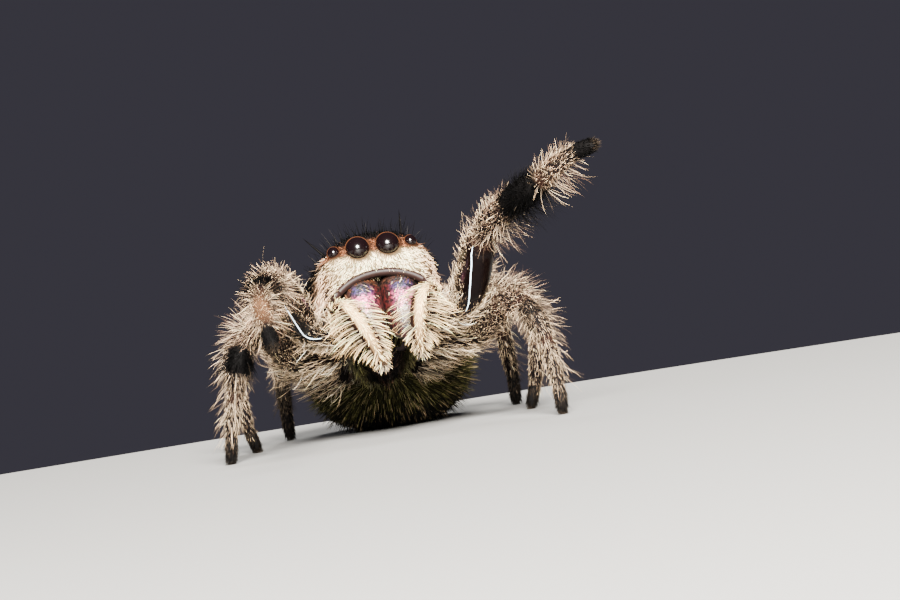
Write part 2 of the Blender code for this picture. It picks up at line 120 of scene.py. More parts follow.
STANDING = {  # foot, lean of the leg's plane, bends after femur, tibia and metatarsus
    (2, RIGHT): ((5.10, -3.50), 25.0, (50.0, 8.0, 8.0)),
    (2, LEFT): ((4.80, -4.85), 0.0, (34.0, 30.0, 10.0)),
    (3, RIGHT): ((4.45, 1.50), -8.0, (62.0, 22.0, 10.0)),
    (3, LEFT): ((3.95, 2.00), -8.0, (62.0, 22.0, 10.0)),
    (4, RIGHT): ((3.60, 6.90), 4.0, (48.0, 12.0, 10.0)),
    (4, LEFT): ((3.60, 6.90), 8.0, (48.0, 12.0, 10.0))}


def coxa_joints(leg, side):
    """The coxa's root and its far end."""
    root, turn, slope, length = COXAE[leg]
    root, turn = np.array(root) * (side, 1, 1), math.radians(turn)
    way = unit([side * math.sin(turn), -math.cos(turn), slope])
    return from_prosoma(root), from_prosoma(root + length * way)


def bent_chain(lengths, bends):
    """A flat chain as complex numbers: each segment turns down by its bend."""
    return np.cumsum(np.array(lengths) * np.exp(-1j * np.radians(np.cumsum((0.0, *bends)))))


def standing_joints(leg, side):
    """Joints of a standing leg: lift = arccos((a^2 + d^2 - b^2) / 2ad) for arms a, b, span d."""
    (foot_out, foot_back), lean, (knee, wrist, ankle) = STANDING[leg, side]
    root, start = coxa_joints(leg, side)
    chord = np.array([side * foot_out, foot_back, 0.0]) - start
    span = float(np.linalg.norm(chord))
    chord = chord / span
    up, tilt = unit(-DOWN - chord[2] * chord), math.radians(lean)
    rise = math.cos(tilt) * up + math.sin(tilt) * np.cross(chord, up) * side
    upper = bent_chain(LEG_LENGTHS[leg][:2], (knee,))
    lower = bent_chain(LEG_LENGTHS[leg][2:], (wrist, ankle))
    a, b = abs(upper[-1]), abs(lower[-1])
    lift = math.acos((a * a + span * span - b * b) / (2 * a * span))
    upper = upper / upper[-1] * a * np.exp(1j * lift)
    lower = lower / lower[-1] * (span - upper[-1]) + upper[-1]
    flat = np.concatenate([[0], upper, lower])
    joints = start + np.outer(flat.real, chord) + np.outer(flat.imag, rise)
    return np.vstack([root, joints]), np.cross(chord, rise)


def raised_joints(side):
    """Joints of a foreleg held in the air: each segment's length times its way."""
    root, start = coxa_joints(1, side)
    turn, climb = np.radians(RAISED[side]).T
    ways = np.column_stack([side * np.sin(turn) * np.cos(climb), -np.cos(turn) * np.cos(climb),
                            np.sin(climb)])
    steps = np.cumsum(np.array(LEG_LENGTHS[1])[:, None] * ways, axis=0)
    return np.vstack([root, start, start + steps]), unit(np.cross(ways[0], ways[2]) - 1e-3 * DOWN)


# %% [markdown]
# ## Forms: grids of points with fields on them
#
# Every piece of skin is a closed surface over two parameters, kept as a grid of
# points: rows run along the piece, columns run round it, and the first and last
# row close to a point.  Whatever else is known at those points, such as the lie or
# the colour of the coat, is a second grid of the same shape.  Hair that is sown on
# the surface reads its way and colour there, so it can't disagree with the skin.

# %% Grids, normals and areas
def around(count):
    """Angles of the columns of a closed grid."""
    return np.arange(count) * 2 * np.pi / count


def slopes(points):
    """How the points change along rows and round columns, by central differences."""
    across = 0.5 * (np.roll(points, -1, axis=1) - np.roll(points, 1, axis=1))
    return np.gradient(points, axis=0), across


def outward(points):
    """Normals: the cross product of the two slopes, turned away from the row's middle."""
    normals = np.cross(*slopes(points))
    normals *= np.sign((normals * (points - points.mean(axis=1, keepdims=True))).sum())
    normals[0], normals[-1] = normals[1].mean(axis=0), normals[-2].mean(axis=0)
    return unit(normals)


def form(points, **fields):
    """A surface: its points, normals, the area of its cells, and its other fields."""
    area = np.linalg.norm(np.cross(*slopes(points)), axis=-1)
    return Form(points=points, normals=outward(points), area=area, **fields)


def plain(points, colour):
    """A form in one colour."""
    return form(points, skin=0 * points + colour, coat=0 * points + colour)


def recoloured(one, colour, **fields):
    """The same form with a coat of one colour."""
    return Form(**{**vars(one), "coat": 0 * one.points + colour, **fields})


def ramp(start, end, value):
    """0 at the start, 1 at the end, which may be lower, and 3t^2 - 2t^3 between them."""
    t = np.clip((np.asarray(value, float) - start) / (end - start), 0, 1)
    return t * t * (3 - 2 * t)


def bump(value, centre, width):
    """A bell: e to the power of minus the square of the distance in widths."""
    return np.exp(-((np.asarray(value, float) - centre) / width) ** 2)


def painted(coat, *layers):
    """A colour with others laid over it in turn: (1 - share) coat + share colour."""
    for colour, share in layers:
        share = np.asarray(share, float)[..., None]
        coat = (1 - share) * np.asarray(coat, float) + share * np.asarray(colour, float)
    return coat


def globe(rows, columns):
    """Directions from a point: the sines and cosines of a polar angle and a turn."""
    polar, turn = np.linspace(0, np.pi, rows)[:, None], around(columns)[None, :]
    return np.stack([np.sin(polar) * np.sin(turn), -np.sin(polar) * np.cos(turn),
                     np.cos(polar) * np.ones_like(turn)], axis=-1)


# %% [markdown]
# Grids turn into meshes here.  The points of an end row merge into one, so the mesh
# is closed, with a fan of triangles there and four-sided faces everywhere else.

# %% Meshes and pieces
def closed_faces(rows, columns, first=0):
    """Faces of a closed grid: quads between rows, and a fan of triangles at each end."""
    k = np.arange(columns)
    after = (k + 1) % columns
    low = 1 + np.arange(rows - 3)[:, None] * columns
    last = 1 + (rows - 3) * columns
    parts = ([low + k, low + after, low + columns + after, low + columns + k],
             [0 * k, after + 1, k + 1], [0 * k + last + columns, last + k, last + after])
    return [face for part in parts
            for face in (np.stack(part, axis=-1).reshape(-1, len(part)) + first).tolist()]


def flattened(field):
    """A grid's values in the order of closed_faces: one for each pole, all for the rest."""
    inner = field[1:-1].reshape(-1, field.shape[-1])
    return np.vstack([field[0].mean(axis=0), inner, field[-1].mean(axis=0)])


def to_metres(points):
    """Skeleton millimetres to model metres."""
    return (points + SHIFT) * MM


def new_piece(name, mesh, colours, material, slot, *nodes):
    """An object for a tinted mesh, riding on the one body, that stands for some solids."""
    colours = np.ones((len(mesh.vertices), 1)) * colours
    tint = mesh.color_attributes.new("tint", "FLOAT_COLOR", "POINT")
    tint.data.foreach_set("color", np.column_stack([colours, np.ones(len(colours))]).ravel())
    mesh.materials.append(material)
    piece = bpy.data.objects.new(name, mesh)
    bpy.context.collection.objects.link(piece)
    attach(piece, "root")
    if nodes:
        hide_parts(*nodes)


def closed_piece(name, points, faces, colours, *finish):
    """A smooth closed piece from points in millimetres, with its faces turned outwards."""
    mesh = bpy.data.meshes.new(name)
    mesh.from_pydata(to_metres(points).tolist(), [], faces)
    bm = bmesh.new()
    bm.from_mesh(mesh)
    bmesh.ops.recalc_face_normals(bm, faces=bm.faces)
    bm.to_mesh(mesh)
    bm.free()
    mesh.shade_smooth()
    new_piece(name, mesh, colours, *finish)


def skin_piece(name, forms, *finish):
    """One closed piece of several forms, in their skin colours."""
    points, faces = np.empty((0, 3)), []
    for one in forms:
        faces += closed_faces(*one.area.shape, len(points))
        points = np.vstack([points, flattened(one.points)])
    closed_piece(name, points, faces, np.vstack([flattened(one.skin) for one in forms]), *finish)
    print(name, len(faces), "faces")


# %% [markdown]
# ## Colours
#
# The coat runs from cream on the face, through peach and rust round the eyes, to
# tan on the legs, with black bands.  Each colour is named once here, as the red,
# green and blue that a screen shows, and turned to linear light.

# %% Named colours
def paint(red, green, blue):
    """Screen values from 0 to 255 as linear light: about the 2.2nd power."""
    return np.array([(c / 255) ** 2.2 for c in (red, green, blue)])


CREAM, MILK = paint(242, 196, 136), paint(255, 220, 160)
PEACH, RUST = paint(206, 146, 104), paint(104, 60, 32)
TAN, ROSE_TAN = paint(152, 128, 102), paint(166, 132, 106)
PALE, BROWN = paint(230, 196, 152), paint(52, 38, 30)
GREY, OLIVE = paint(104, 98, 92), paint(112, 108, 64)
# The third colour on the next line is a painted highlight: the pale blue-white shine along the edge of
# each foreleg's femur.
BLACK, WHITE, PAINTED_HIGHLIGHT = paint(7, 6, 6), paint(242, 232, 212), paint(176, 196, 210)
SHELL_BLACK, SHELL_BROWN = paint(10, 7, 7), paint(28, 17, 13)
RIM, LIP_BROWN = paint(36, 21, 12), paint(21, 13, 11)
JAW_BLUE, JAW_PINK, JAW_RED = paint(26, 21, 42), paint(112, 42, 68), paint(40, 14, 13)

# %% [markdown]
# ## The carapace, with its face and the hollow for the jaws
#
# The carapace is box-like at the front and slopes away behind the last pair of
# eyes.  It is written as a test, less than zero inside and more outside: the shield,
# joined to the half egg of the breastplate, less the egg-shaped hollow that holds
# the jaws.  Soft minima and maxima join and cut, so the edge of the hollow turns
# into the rounded lip under the face.  Halving along rays from one point inside
# then finds the surface.

# %% Prosoma form
LENGTH, WIDTH, HEIGHT = 5.6, 4.8, 2.4
ROUNDED_FRONT, ROUNDED_REAR = 0.12, 0.30     # shares of the length
BREAST_CENTRE, BREAST_HALF = np.array([0.0, 0.15, 0.0]), np.array([1.18, 2.25, 1.35])
MOUTH_CENTRE, MOUTH_HALF = np.array([0.0, -2.75, -0.55]), np.array([1.80, 1.15, 1.25])
COAT_ON_BODY = 0.09         # the skin lies this far inside the solids


def soft_max(a, b, k):
    """The larger of two fields, rounded over a width k where they cross."""
    return 0.5 * (a + b + np.sqrt((a - b) ** 2 + k * k))


def shield_test(p):
    """Superellipse of power 2.4 across, with the front and rear rounded in."""
    s = np.clip(p[..., 1] / LENGTH + 0.5, 0.0, 1.0)
    front, rear = np.minimum(s / ROUNDED_FRONT, 1.0), np.minimum((1 - s) / ROUNDED_REAR, 1.0)
    shrink = (1 - (1 - front) ** 3.0) ** (1 / 3.0) * (1 - (1 - rear) ** 2.2) ** (1 / 2.2)
    shrink = np.maximum(shrink, 0.02)
    belly = np.sin(np.pi * np.minimum(s / 1.1, 1.0)) ** 1.2
    hollow_cheek = 0.8 * ramp(1.5, 0.7, p[..., 2]) * ramp(0.62, 0.45, s)
    width = 0.5 * WIDTH * (0.77 + 0.23 * belly * (1 - hollow_cheek))
    crown = HEIGHT * (1 - 0.10 * np.maximum(0, 1 - s / 0.35) ** 2
                      - 0.66 * np.maximum(0, (s - 0.42) / 0.58) ** 1.5)
    middle = 1.05 * (1 - np.maximum(0, (s - 0.5) / 0.5))
    across = np.abs(p[..., 0]) / (width * shrink)
    rise = np.maximum((p[..., 2] - middle) / shrink + middle, 0) / crown
    shell = 1.6 * ((across ** 2.4 + rise ** 2.4) ** (1 / 2.4) - 1)
    shell = np.maximum(shell, np.abs(p[..., 1]) - 0.5 * LENGTH)
    return soft_max(shell, 0.05 - p[..., 2], 0.10)


def egg_test(p, centre, half):
    """Distance from the egg's middle in half sizes, less one, times a mean size."""
    return (np.linalg.norm((p - centre) / half, axis=-1) - 1) * half.min()


def prosoma_test(p):
    """Shield joined to the breastplate, less the hollow for the jaws."""
    whole = -soft_max(-shield_test(p), -egg_test(p, BREAST_CENTRE, BREAST_HALF), 0.12)
    return soft_max(whole, -egg_test(p, MOUTH_CENTRE, MOUTH_HALF), 0.10)


def cast(test, centre, ways, reach, halvings=40):
    """Distance along each way at which a test turns from inside to outside."""
    near = np.zeros(ways.shape[:-1])
    far = near + reach
    for _ in range(halvings):
        half = 0.5 * (near + far)
        inside = test(centre + ways * half[..., None]) < 0
        near, far = np.where(inside, half, near), np.where(inside, far, half)
    return near


def in_mouth(local, edge):
    """1 in the hollow for the jaws, falling to 0 over its edge."""
    return ramp(0.02, edge, 0.15 - egg_test(local, MOUTH_CENTRE, MOUTH_HALF))


def near_eyes(local):
    """Distance from the nearest front eye's rim, in millimetres."""
    gaps = [np.linalg.norm(local - np.array(place) * (side, 1, 1), axis=-1) - radius
            for name, (radius, place, _) in EYES.items() if name.startswith("anterior")
            for side in SIDES]
    return np.min(gaps, axis=0)


def prosoma_colours(local):
    """Skin and coat colours: cream face, rust round the eyes, black above, tan behind."""
    left, back, up = np.moveaxis(local, -1, 0)
    left = np.abs(left)
    brow = np.maximum(ramp(1.30, 1.48, up), 0.85 * ramp(0.13, 0.03, near_eyes(local)))
    cheek = ramp(0.9, 1.8, left) * (1 - 0.5 * ramp(0.9, 1.3, up))
    crown = np.maximum(ramp(1.80, 1.98, up + 0.10 * left),
                       ramp(1.40, 1.62, left) * ramp(1.1, 1.3, up))
    behind = ramp(-2.35, -1.75, back)
    black = np.maximum(crown, ramp(0.75, 1.45, up + 0.25 * (back + 2.3)) * behind)
    sides = painted(PEACH, (TAN, 0.5), (GREY * 0.7, ramp(-1.2, 0.4, back)))
    coat = painted(MILK, (PEACH * 0.7, 0.85 * cheek), (RUST, brow), (sides, behind),
                   (BLACK, black), (OLIVE, ramp(-0.4, -0.8, up)),
                   (BLACK, ramp(-0.7, -1.0, up) * ramp(1.0, 0.5, left)))
    pale_skin = (1 - behind) * ramp(0.25, 0.75, up) * (1 - black)
    skin = painted(SHELL_BLACK, (coat * (0.05 - 0.03 * cheek[..., None]), 0.8 * pale_skin),
                   (BLACK, in_mouth(local, 0.10)))
    return skin, coat


def prosoma_form(rows=130, columns=180):
    """The prosoma's skin, sunk below the solids by the depth of the coat."""
    centre, ways = np.array([0.0, -0.25, 0.86]), globe(rows, columns)
    local = centre + ways * cast(prosoma_test, centre, ways, 5.0)[..., None]
    local = local - outward(local) * COAT_ON_BODY
    skin, coat = prosoma_colours(local)
    return form(from_prosoma(local), skin=skin, coat=coat, local=local)


PROSOMA = prosoma_form()
print("prosoma grid", PROSOMA.area.shape)

# %% [markdown]
# ## The abdomen
#
# The abdomen is an egg with slightly squared sides, flat where it rests on the
# floor.  Its grid runs from front to rear, so the lie of its coat is simply the
# way along the rows.

# %% Abdomen form
ABDOMEN_CENTRE, ABDOMEN_SIZE = np.array([-0.20, 6.25, 2.02]), (5.4, 7.0, 4.4)
SPOTS = ((0.0, -0.4, 0.55), (0.75, 1.15, 0.30), (0.55, 2.15, 0.24))    # left, back, radius


def abdomen_colours(local):
    """Grey-tan above with a pale front band and pale spots on black, dark below."""
    left, back, up = np.moveaxis(local, -1, 0)
    ripple = 0.25 * np.sin(2.1 * back + 1.0) + 0.12 * np.sin(5.3 * back)
    saddle = ramp(-2.0, -1.2, back) * ramp(1.65, 1.25, np.abs(left) + ripple) * ramp(0.3, 1.0, up)
    spots = sum(ramp(1.15 * radius, 0.7 * radius, np.hypot(np.abs(left) - aside, back - place))
                for aside, place, radius in SPOTS) * (up > 0)
    top = painted(GREY * 0.8, (TAN * 0.7, 0.5 + 0.4 * np.sin(3 * left)), (BLACK, 0.9 * saddle),
                  (WHITE, np.clip(spots, 0, 1)),
                  (PALE, bump(back, -2.75, 0.42) * ramp(-0.6, 0.2, up)))
    coat = painted(BLACK, (painted(OLIVE * 0.7, (top, ramp(-0.4, 1.0, up))), ramp(-1.7, -0.9, up)))
    return painted(coat * 0.06, (BLACK, 0.5)), coat


def abdomen_form(rows=84, columns=96):
    """Rows at the cosine of an angle; half sizes shrink as (1 - |t|^2.3)^(1/2.3)."""
    t = -np.cos(np.linspace(0.0, 1.0, rows) * np.pi)[:, None]
    plump = np.maximum(1 - np.abs(t) ** 2.3, 0) ** (1 / 2.3) * (1 - 0.10 * t)
    turn = around(columns)[None, :]
    width, length, height = np.array(ABDOMEN_SIZE) / 2 - 0.14
    x, z = (size * plump * np.sign(wave) * np.abs(wave) ** (2 / 2.35)
            for size, wave in ((width, np.sin(turn)), (height, np.cos(turn))))
    local = np.stack([x, length * t * np.ones_like(turn), z - 0.25 * t * t], axis=-1)
    points = local + ABDOMEN_CENTRE
    points[..., 2] = np.maximum(points[..., 2], 0.03)
    skin, coat = abdomen_colours(points - ABDOMEN_CENTRE)
    return form(points, skin=skin, coat=coat)


ABDOMEN = abdomen_form()
print("abdomen grid", ABDOMEN.area.shape)

# %% [markdown]
# ## Tubes along a path
#
# Legs, palps, jaws and fangs are all ovals carried along a path.  The path gives
# each ring its middle and its direction, and a fixed side axis keeps the rings from
# twisting.  The first and last ring shrink to a point, which closes the tube.

# %% Tube and path helpers
def through(points, steps):
    """A Catmull-Rom curve through points, with some steps between each two."""
    points = np.asarray(points, float)
    ends = np.vstack([2 * points[0] - points[1], points, 2 * points[-1] - points[-2]])
    a, b, c, d = (ends[k:len(ends) - 3 + k, None] for k in range(4))
    t = (np.arange(steps) / steps)[None, :, None]
    curve = 0.5 * (2 * b + (c - a) * t + (2 * a - 5 * b + 4 * c - d) * t ** 2
                   + (3 * b - a - 3 * c + d) * t ** 3)
    return np.vstack([curve.reshape(-1, points.shape[1]), points[-1]])


def evened(path, numbers, spacing):
    """A path with its points a fixed distance apart, and numbers carried with it."""
    gone = np.concatenate([[0], np.cumsum(np.linalg.norm(np.diff(path, axis=0), axis=1))])
    where = np.linspace(0, gone[-1], max(int(gone[-1] / spacing), 8))
    even = np.column_stack([np.interp(where, gone, path[:, k]) for k in range(3)])
    return even, np.interp(where, gone, numbers)


def rounded_ends(count, near, far):
    """1 along a tube, falling to 0 at its ends as a quarter circle over a few rings."""
    k = np.arange(count)
    start, end = np.clip(k / near, 0, 1), np.clip((count - 1 - k) / far, 0, 1)
    return np.sqrt(1 - (1 - start) ** 2) * np.sqrt(1 - (1 - end) ** 2)


def tube(path, side_axis, upright, half_widths, half_depths, columns):
    """Points = middle + width sin(turn) across + depth cos(turn) up, for every ring."""
    along, side_axis = unit(np.gradient(path, axis=0)), np.asarray(side_axis, float)
    across = unit(side_axis - (along @ side_axis)[:, None] * along)
    up = np.cross(across, along)
    up *= np.sign((up @ np.asarray(upright, float)).sum())
    turn = around(columns)[None, :, None]
    points = (path[:, None] + np.sin(turn) * half_widths[:, None, None] * across[:, None]
              + np.cos(turn) * half_depths[:, None, None] * up[:, None])
    fields = {name: value[:, None] * np.ones((1, columns, 1))
              for name, value in (("along", along), ("across", across), ("up", up))}
    return points, {"turn": np.ones((len(path), 1)) * turn[..., 0], **fields}


def small_tube(points, steps, half_widths, side_axis, columns, skin):
    """A short closed tube through a few points, in one colour."""
    path = through(points, steps)
    width = np.interp(np.linspace(0, 1, len(path)), np.linspace(0, 1, len(half_widths)), half_widths)
    width = width * rounded_ends(len(path), 3, 3)
    return plain(tube(path, side_axis, -DOWN, width, width, columns)[0], skin)


WAIST = small_tube([from_prosoma((0, 1.9, -0.2)), from_prosoma((0, 2.4, -0.3)),
                    ABDOMEN_CENTRE + (0, -3.2, -0.15), ABDOMEN_CENTRE + (0, -2.7, -0.1)], 8,
                   (0.26, 0.24, 0.26), (1, 0, 0), 20, SHELL_BROWN)
SPINNERETS = [small_tube([ABDOMEN_CENTRE + (0.14 * side, 3.1, lift),
                          ABDOMEN_CENTRE + (0.17 * side, 3.5, lift * 1.05),
                          ABDOMEN_CENTRE + (0.13 * side, 3.5 + reach, lift * 1.1)], 6,
                         (0.20, 0.19, 0.12), (1, 0, 0), 16, SHELL_BLACK)
              for side in SIDES for lift, reach in ((-0.42, 0.42), (-0.70, 0.34))]

# %% [markdown]
# ## Legs
#
# A leg's skin is one tube from coxa to tip, a little thicker in the middle of each
# segment and drawn in at each joint.  Its rows carry a number that runs from 0 at
# the root, 1 at the end of the coxa, 2 at the knee, 3 after the patella, 4 after
# the tibia and 5 after the metatarsus to 6 at the tip, and the bands of the coat
# are written in that number.

# %% Leg forms
SKIN_RADII = (0.30, 0.36, 0.33, 0.31, 0.27, 0.19, 0.14)
SKIN_SWELLING = np.array([0.0, 0.09, 0.05, 0.08, 0.02, 0.03])
LEG_THICKNESS = {1: 1.00, 2: 0.90, 3: 0.82, 4: 0.88}
# The tibia's black band: its first and last joint number, and its depth
BANDS = {(1, LEFT): (3.0, 4.08, 1.0), (1, RIGHT): (3.04, 3.70, 1.0), (2, LEFT): (3.02, 3.5, 0.6),
         (2, RIGHT): (3.02, 3.6, 1.0), (3, LEFT): (3.6, 4.0, 0.6), (3, RIGHT): (3.6, 4.0, 0.6),
         (4, LEFT): (3.5, 4.0, 0.6), (4, RIGHT): (3.5, 4.0, 0.6)}
DARK_FEET = {(4, LEFT): 4.7, (4, RIGHT): 4.35}       # from this number on; the others from 5
PEACH_SHARES = {(1, LEFT): 0.35, (1, RIGHT): 0.5}


def leg_path(joints):
    """Straight runs joined by quadratic Bezier bends, with the joint number along it."""
    spans = np.linalg.norm(np.diff(joints, axis=0), axis=1)
    places, numbers = [joints[0]], [0.0]
    u = np.linspace(0, 1, 9)[:, None]
    for k in range(1, 6):
        reach = 0.42 * min(spans[k - 1], spans[k])
        before, after = unit(joints[k] - joints[k - 1]), unit(joints[k + 1] - joints[k])
        places += list(joints[k] - before * reach * (1 - u) ** 2 + after * reach * u ** 2)
        numbers += list(k + (u[:, 0] - 0.5) * reach * (1 / spans[k - 1] + 1 / spans[k]))
    return np.array(places + [joints[6]]), np.array(numbers + [6.0])


def leg_colours(number, leg, side):
    """Tan with black bands on the tibia and the tarsus; the third field marks them."""
    first, last, depth = BANDS[leg, side]
    band = ramp(first - 0.10, first + 0.06, number) * ramp(last + 0.06, last - 0.08, number) * depth
    start = DARK_FEET.get((leg, side), 5.0)
    foot = ramp(start, start + 0.2, number) * (1 - 0.06 * ramp(5.75, 5.95, number))
    foot = foot * (1.0 if leg == 1 else 0.86 + 0.12 * ramp(5.3, 5.6, number))
    dark = np.maximum(band, foot)
    coat = painted(TAN, (ROSE_TAN, bump(number, 2.6, 0.5)),
                   (painted(OLIVE, (PALE, 0.75)), 0.8 * ramp(1.5, 0.8, number)),
                   (PEACH, PEACH_SHARES.get((leg, side), 0.0) * bump(number, 4.5, 0.3)),
                   (PALE, (0.0 if leg == 1 else 0.5) * bump(number, 4.4, 0.4)), (BLACK, dark))
    knees = bump(number, 2, 0.12) + bump(number, 3, 0.1) + bump(number, 4.15, 0.15)
    skin = painted(SHELL_BLACK, (SHELL_BROWN * 0.6, np.clip(0.8 * knees, 0, 1) * (1 - dark)),
                   (PEACH * 0.045, ((leg, side) == (1, RIGHT)) * bump(number, 4.5, 0.4)),
                   (BLACK, dark))
    return skin, coat, dark


def leg_form(leg, side, columns=30):
    """The skin of one leg."""
    joints, side_axis = raised_joints(side) if leg == 1 else standing_joints(leg, side)
    path, number = evened(*leg_path(joints), spacing=0.065)
    segment = np.clip(number.astype(int), 0, 5)
    part = number - segment
    radius = np.interp(number, range(7), SKIN_RADII) + SKIN_SWELLING[segment] * 4 * part * (1 - part)
    waist = sum(bump(number, k, 0.06) for k in (2, 3, 4, 5))
    radius = radius * LEG_THICKNESS[leg] * (1 - 0.10 * waist) * rounded_ends(len(path), 3, 4)
    if leg > 1:
        path[:, 2] = np.maximum(path[:, 2], 0.05)
    depth = 1.14 + 0.10 * bump(number, 1.5, 0.4)
    points, fields = tube(path, side_axis, (0, -0.2, 1.0), radius, radius * depth, columns)
    points[..., 2] = np.maximum(points[..., 2], 0.01)
    number = number[:, None] * np.ones((1, columns))
    skin, coat, dark = leg_colours(number, leg, side)
    return form(points, skin=skin, coat=coat, dark=dark, number=number, leg=leg, side=side, **fields)


LEGS = {(leg, side): leg_form(leg, side) for leg in COXAE for side in SIDES}
print("legs", {key: one.area.shape for key, one in LEGS.items()})

# %% [markdown]
# ## Palps
#
# The palps are a pair of short feelers.  Each rises from beside the jaws to a knee
# and hangs down in front of them, and the hanging end carries the long feathered
# fringe that covers the mouth like a beard.

# %% Palp forms
PALP_PATHS = {
    LEFT: ((0.86, -1.95, 2.85), (1.36, -2.95, 3.50), (1.50, -3.62, 4.15), (1.18, -3.88, 3.95),
           (1.02, -3.86, 3.20), (0.95, -3.62, 2.34)),
    RIGHT: ((-0.78, -2.10, 2.85), (-1.28, -3.05, 3.40), (-1.22, -3.62, 4.05), (-0.80, -3.88, 3.78),
            (-0.42, -3.86, 3.00), (-0.16, -3.62, 2.12)),
}


def palp_form(side, columns=26):
    """A tube that is widest at two thirds of its length, with its front as up."""
    path = through(PALP_PATHS[side], 14)
    path, part = evened(path, np.linspace(0, 1, len(path)), spacing=0.06)
    width = np.interp(part, (0, 0.3, 0.5, 0.7, 0.9, 1), (0.20, 0.22, 0.24, 0.27, 0.21, 0.12))
    width = width * rounded_ends(len(path), 3, 5)
    points, fields = tube(path, (1, 0, 0), (0, -1.0, 0.25), width, 0.85 * width, columns)
    part = part[:, None] * np.ones((1, columns))
    coat = painted(TAN, (CREAM, ramp(0.18, 0.40, part)), (GREY * 1.2, ramp(0.93, 0.99, part)))
    crest = ramp(0.75, 0.98, np.cos(fields["turn"])) * bump(part, 0.62, 0.22)
    skin = painted(SHELL_BROWN * 0.5, (coat * 0.20, crest))
    return form(points, skin=skin, coat=coat, part=part, side=side, **fields)


PALPS = {side: palp_form(side) for side in SIDES}
print("palps", {side: one.area.shape for side, one in PALPS.items()})

# %% [markdown]
# ## Materials
#
# Skin under the coat is dull and nearly black, so that the gaps between hairs are
# dark.  Bare shell is smooth and polished and takes its look from its highlights.
# A hair is a thin needle with almost no shine.  The jaws have the blue, violet and
# pink scales of this species.  Every surface but the lens takes its colour from the
# tint on the mesh, times a pattern.

# %% Shaders
def shader(name, **sockets):
    """A new Principled material with its constant sockets set."""
    material = bpy.data.materials.new(name)
    material.use_nodes = True
    node = material.node_tree.nodes["Principled BSDF"]
    for socket, value in sockets.items():
        node.inputs[socket.replace("_", " ")].default_value = value
    return material, material.node_tree, node


def add(tree, kind, **values):
    """A new shader node with its inputs or properties set by name."""
    node = tree.nodes.new(kind)
    for key, value in values.items():
        if key in node.inputs:
            node.inputs[key].default_value = value
        else:
            setattr(node, key, value)
    return node


def pattern(tree, kind, **values):
    """A texture on the piece's own Object coordinates, its scale in waves per metre."""
    node = add(tree, kind, **values)
    place = add(tree, "ShaderNodeTexCoord")
    tree.links.new(place.outputs["Object"], node.inputs["Vector"])
    return node


def tinted(tree, principled, level, **spread):
    """Base colour = the tint attribute times a level, spread to a range."""
    tint = add(tree, "ShaderNodeAttribute", attribute_name="tint")
    spread = add(tree, "ShaderNodeMapRange", **{key.replace("_", " "): value
                                                for key, value in spread.items()})
    mix = add(tree, "ShaderNodeVectorMath", operation="SCALE")
    tree.links.new(level, spread.inputs["Value"])
    tree.links.new(tint.outputs["Color"], mix.inputs[0])
    tree.links.new(spread.outputs["Result"], mix.inputs["Scale"])
    tree.links.new(mix.outputs["Vector"], principled.inputs["Base Color"])


def relief(tree, principled, height, strength):
    """A fine relief, 0.02 mm deep at full strength."""
    node = add(tree, "ShaderNodeBump", Strength=strength, Distance=0.02 * MM)
    tree.links.new(height, node.inputs["Height"])
    tree.links.new(node.outputs["Normal"], principled.inputs["Normal"])


def cuticle(name, roughness, specular, scale=9000.0, detail=3.0, swing=0.3, grain=0.12):
    """Shell or hair: its tint times 1 +- the swing of a noise, with a fine grain."""
    material, tree, node = shader(name, Roughness=roughness, Specular_IOR_Level=specular)
    noise = pattern(tree, "ShaderNodeTexNoise", Scale=scale, Detail=detail).outputs["Fac"]
    tinted(tree, node, noise, To_Min=1 - swing, To_Max=1 + swing)
    if grain:
        relief(tree, node, noise, grain)
    return material


def jaw_scales():
    """Iridescent scales over dark shell: cells that take the tint, brighter or darker."""
    material, tree, node = shader("jaw_scales", Roughness=0.38, Metallic=0.35)
    cells = pattern(tree, "ShaderNodeTexVoronoi", Scale=16000.0)
    grey = add(tree, "ShaderNodeRGBToBW")
    tree.links.new(cells.outputs["Color"], grey.inputs["Color"])
    tinted(tree, node, grey.outputs["Val"], From_Min=0.35, From_Max=0.75, To_Min=0.08, To_Max=1.6)
    relief(tree, node, cells.outputs["Distance"], 0.5)
    return material


SHELL, SATIN = cuticle("shell", 0.18, 0.07), cuticle("satin_shell", 0.55, 0.10)
SKIN = cuticle("skin", 0.75, 0.03)
HAIR, DARK_HAIR = (cuticle(name, 0.60, specular, 2500.0, 1.0, 0.25, 0)
                   for name, specular in (("coat_hair", 0.03), ("black_hair", 0.02)))
LENS = shader("eye_lens", Roughness=0.15, Specular_IOR_Level=0.22,
              Base_Color=(0.0009, 0.0004, 0.0005, 1))[0]
JAW = jaw_scales()
print("materials", [material.name for material in (SHELL, SATIN, SKIN, HAIR, DARK_HAIR, LENS, JAW)])

# %% [markdown]
# ## Put the skin together
#
# All the flesh is one piece of skin, which stands for every solid of flesh at once,
# so that no seam between two solids shows.  Each eye sits in a low raised rim, a
# thin closed ring that sinks into the skin.

# %% Skin and eye rims
def eye_rim(name, side, rings=47, columns=10):
    """A torus round the way the lens looks: a small circle carried round a big one."""
    radius, place, way = EYES[name]
    way = unit(np.array(way) * (side, 1, 1))
    flat, turn = unit(np.cross(way, -DOWN)), around(rings)[:, None]
    out = np.cos(turn) * flat + np.sin(turn) * np.cross(flat, way)
    middle = np.array(place) * (side, 1, 1) + way * radius * 0.10 + out * radius * 1.055
    thick = 0.012 if radius > 0.3 else 0.010 if radius > 0.1 else 0.008
    small = around(columns)[None, :, None]
    return from_prosoma(middle[:, None] + thick * (np.cos(small) * out[:, None] + np.sin(small) * way))


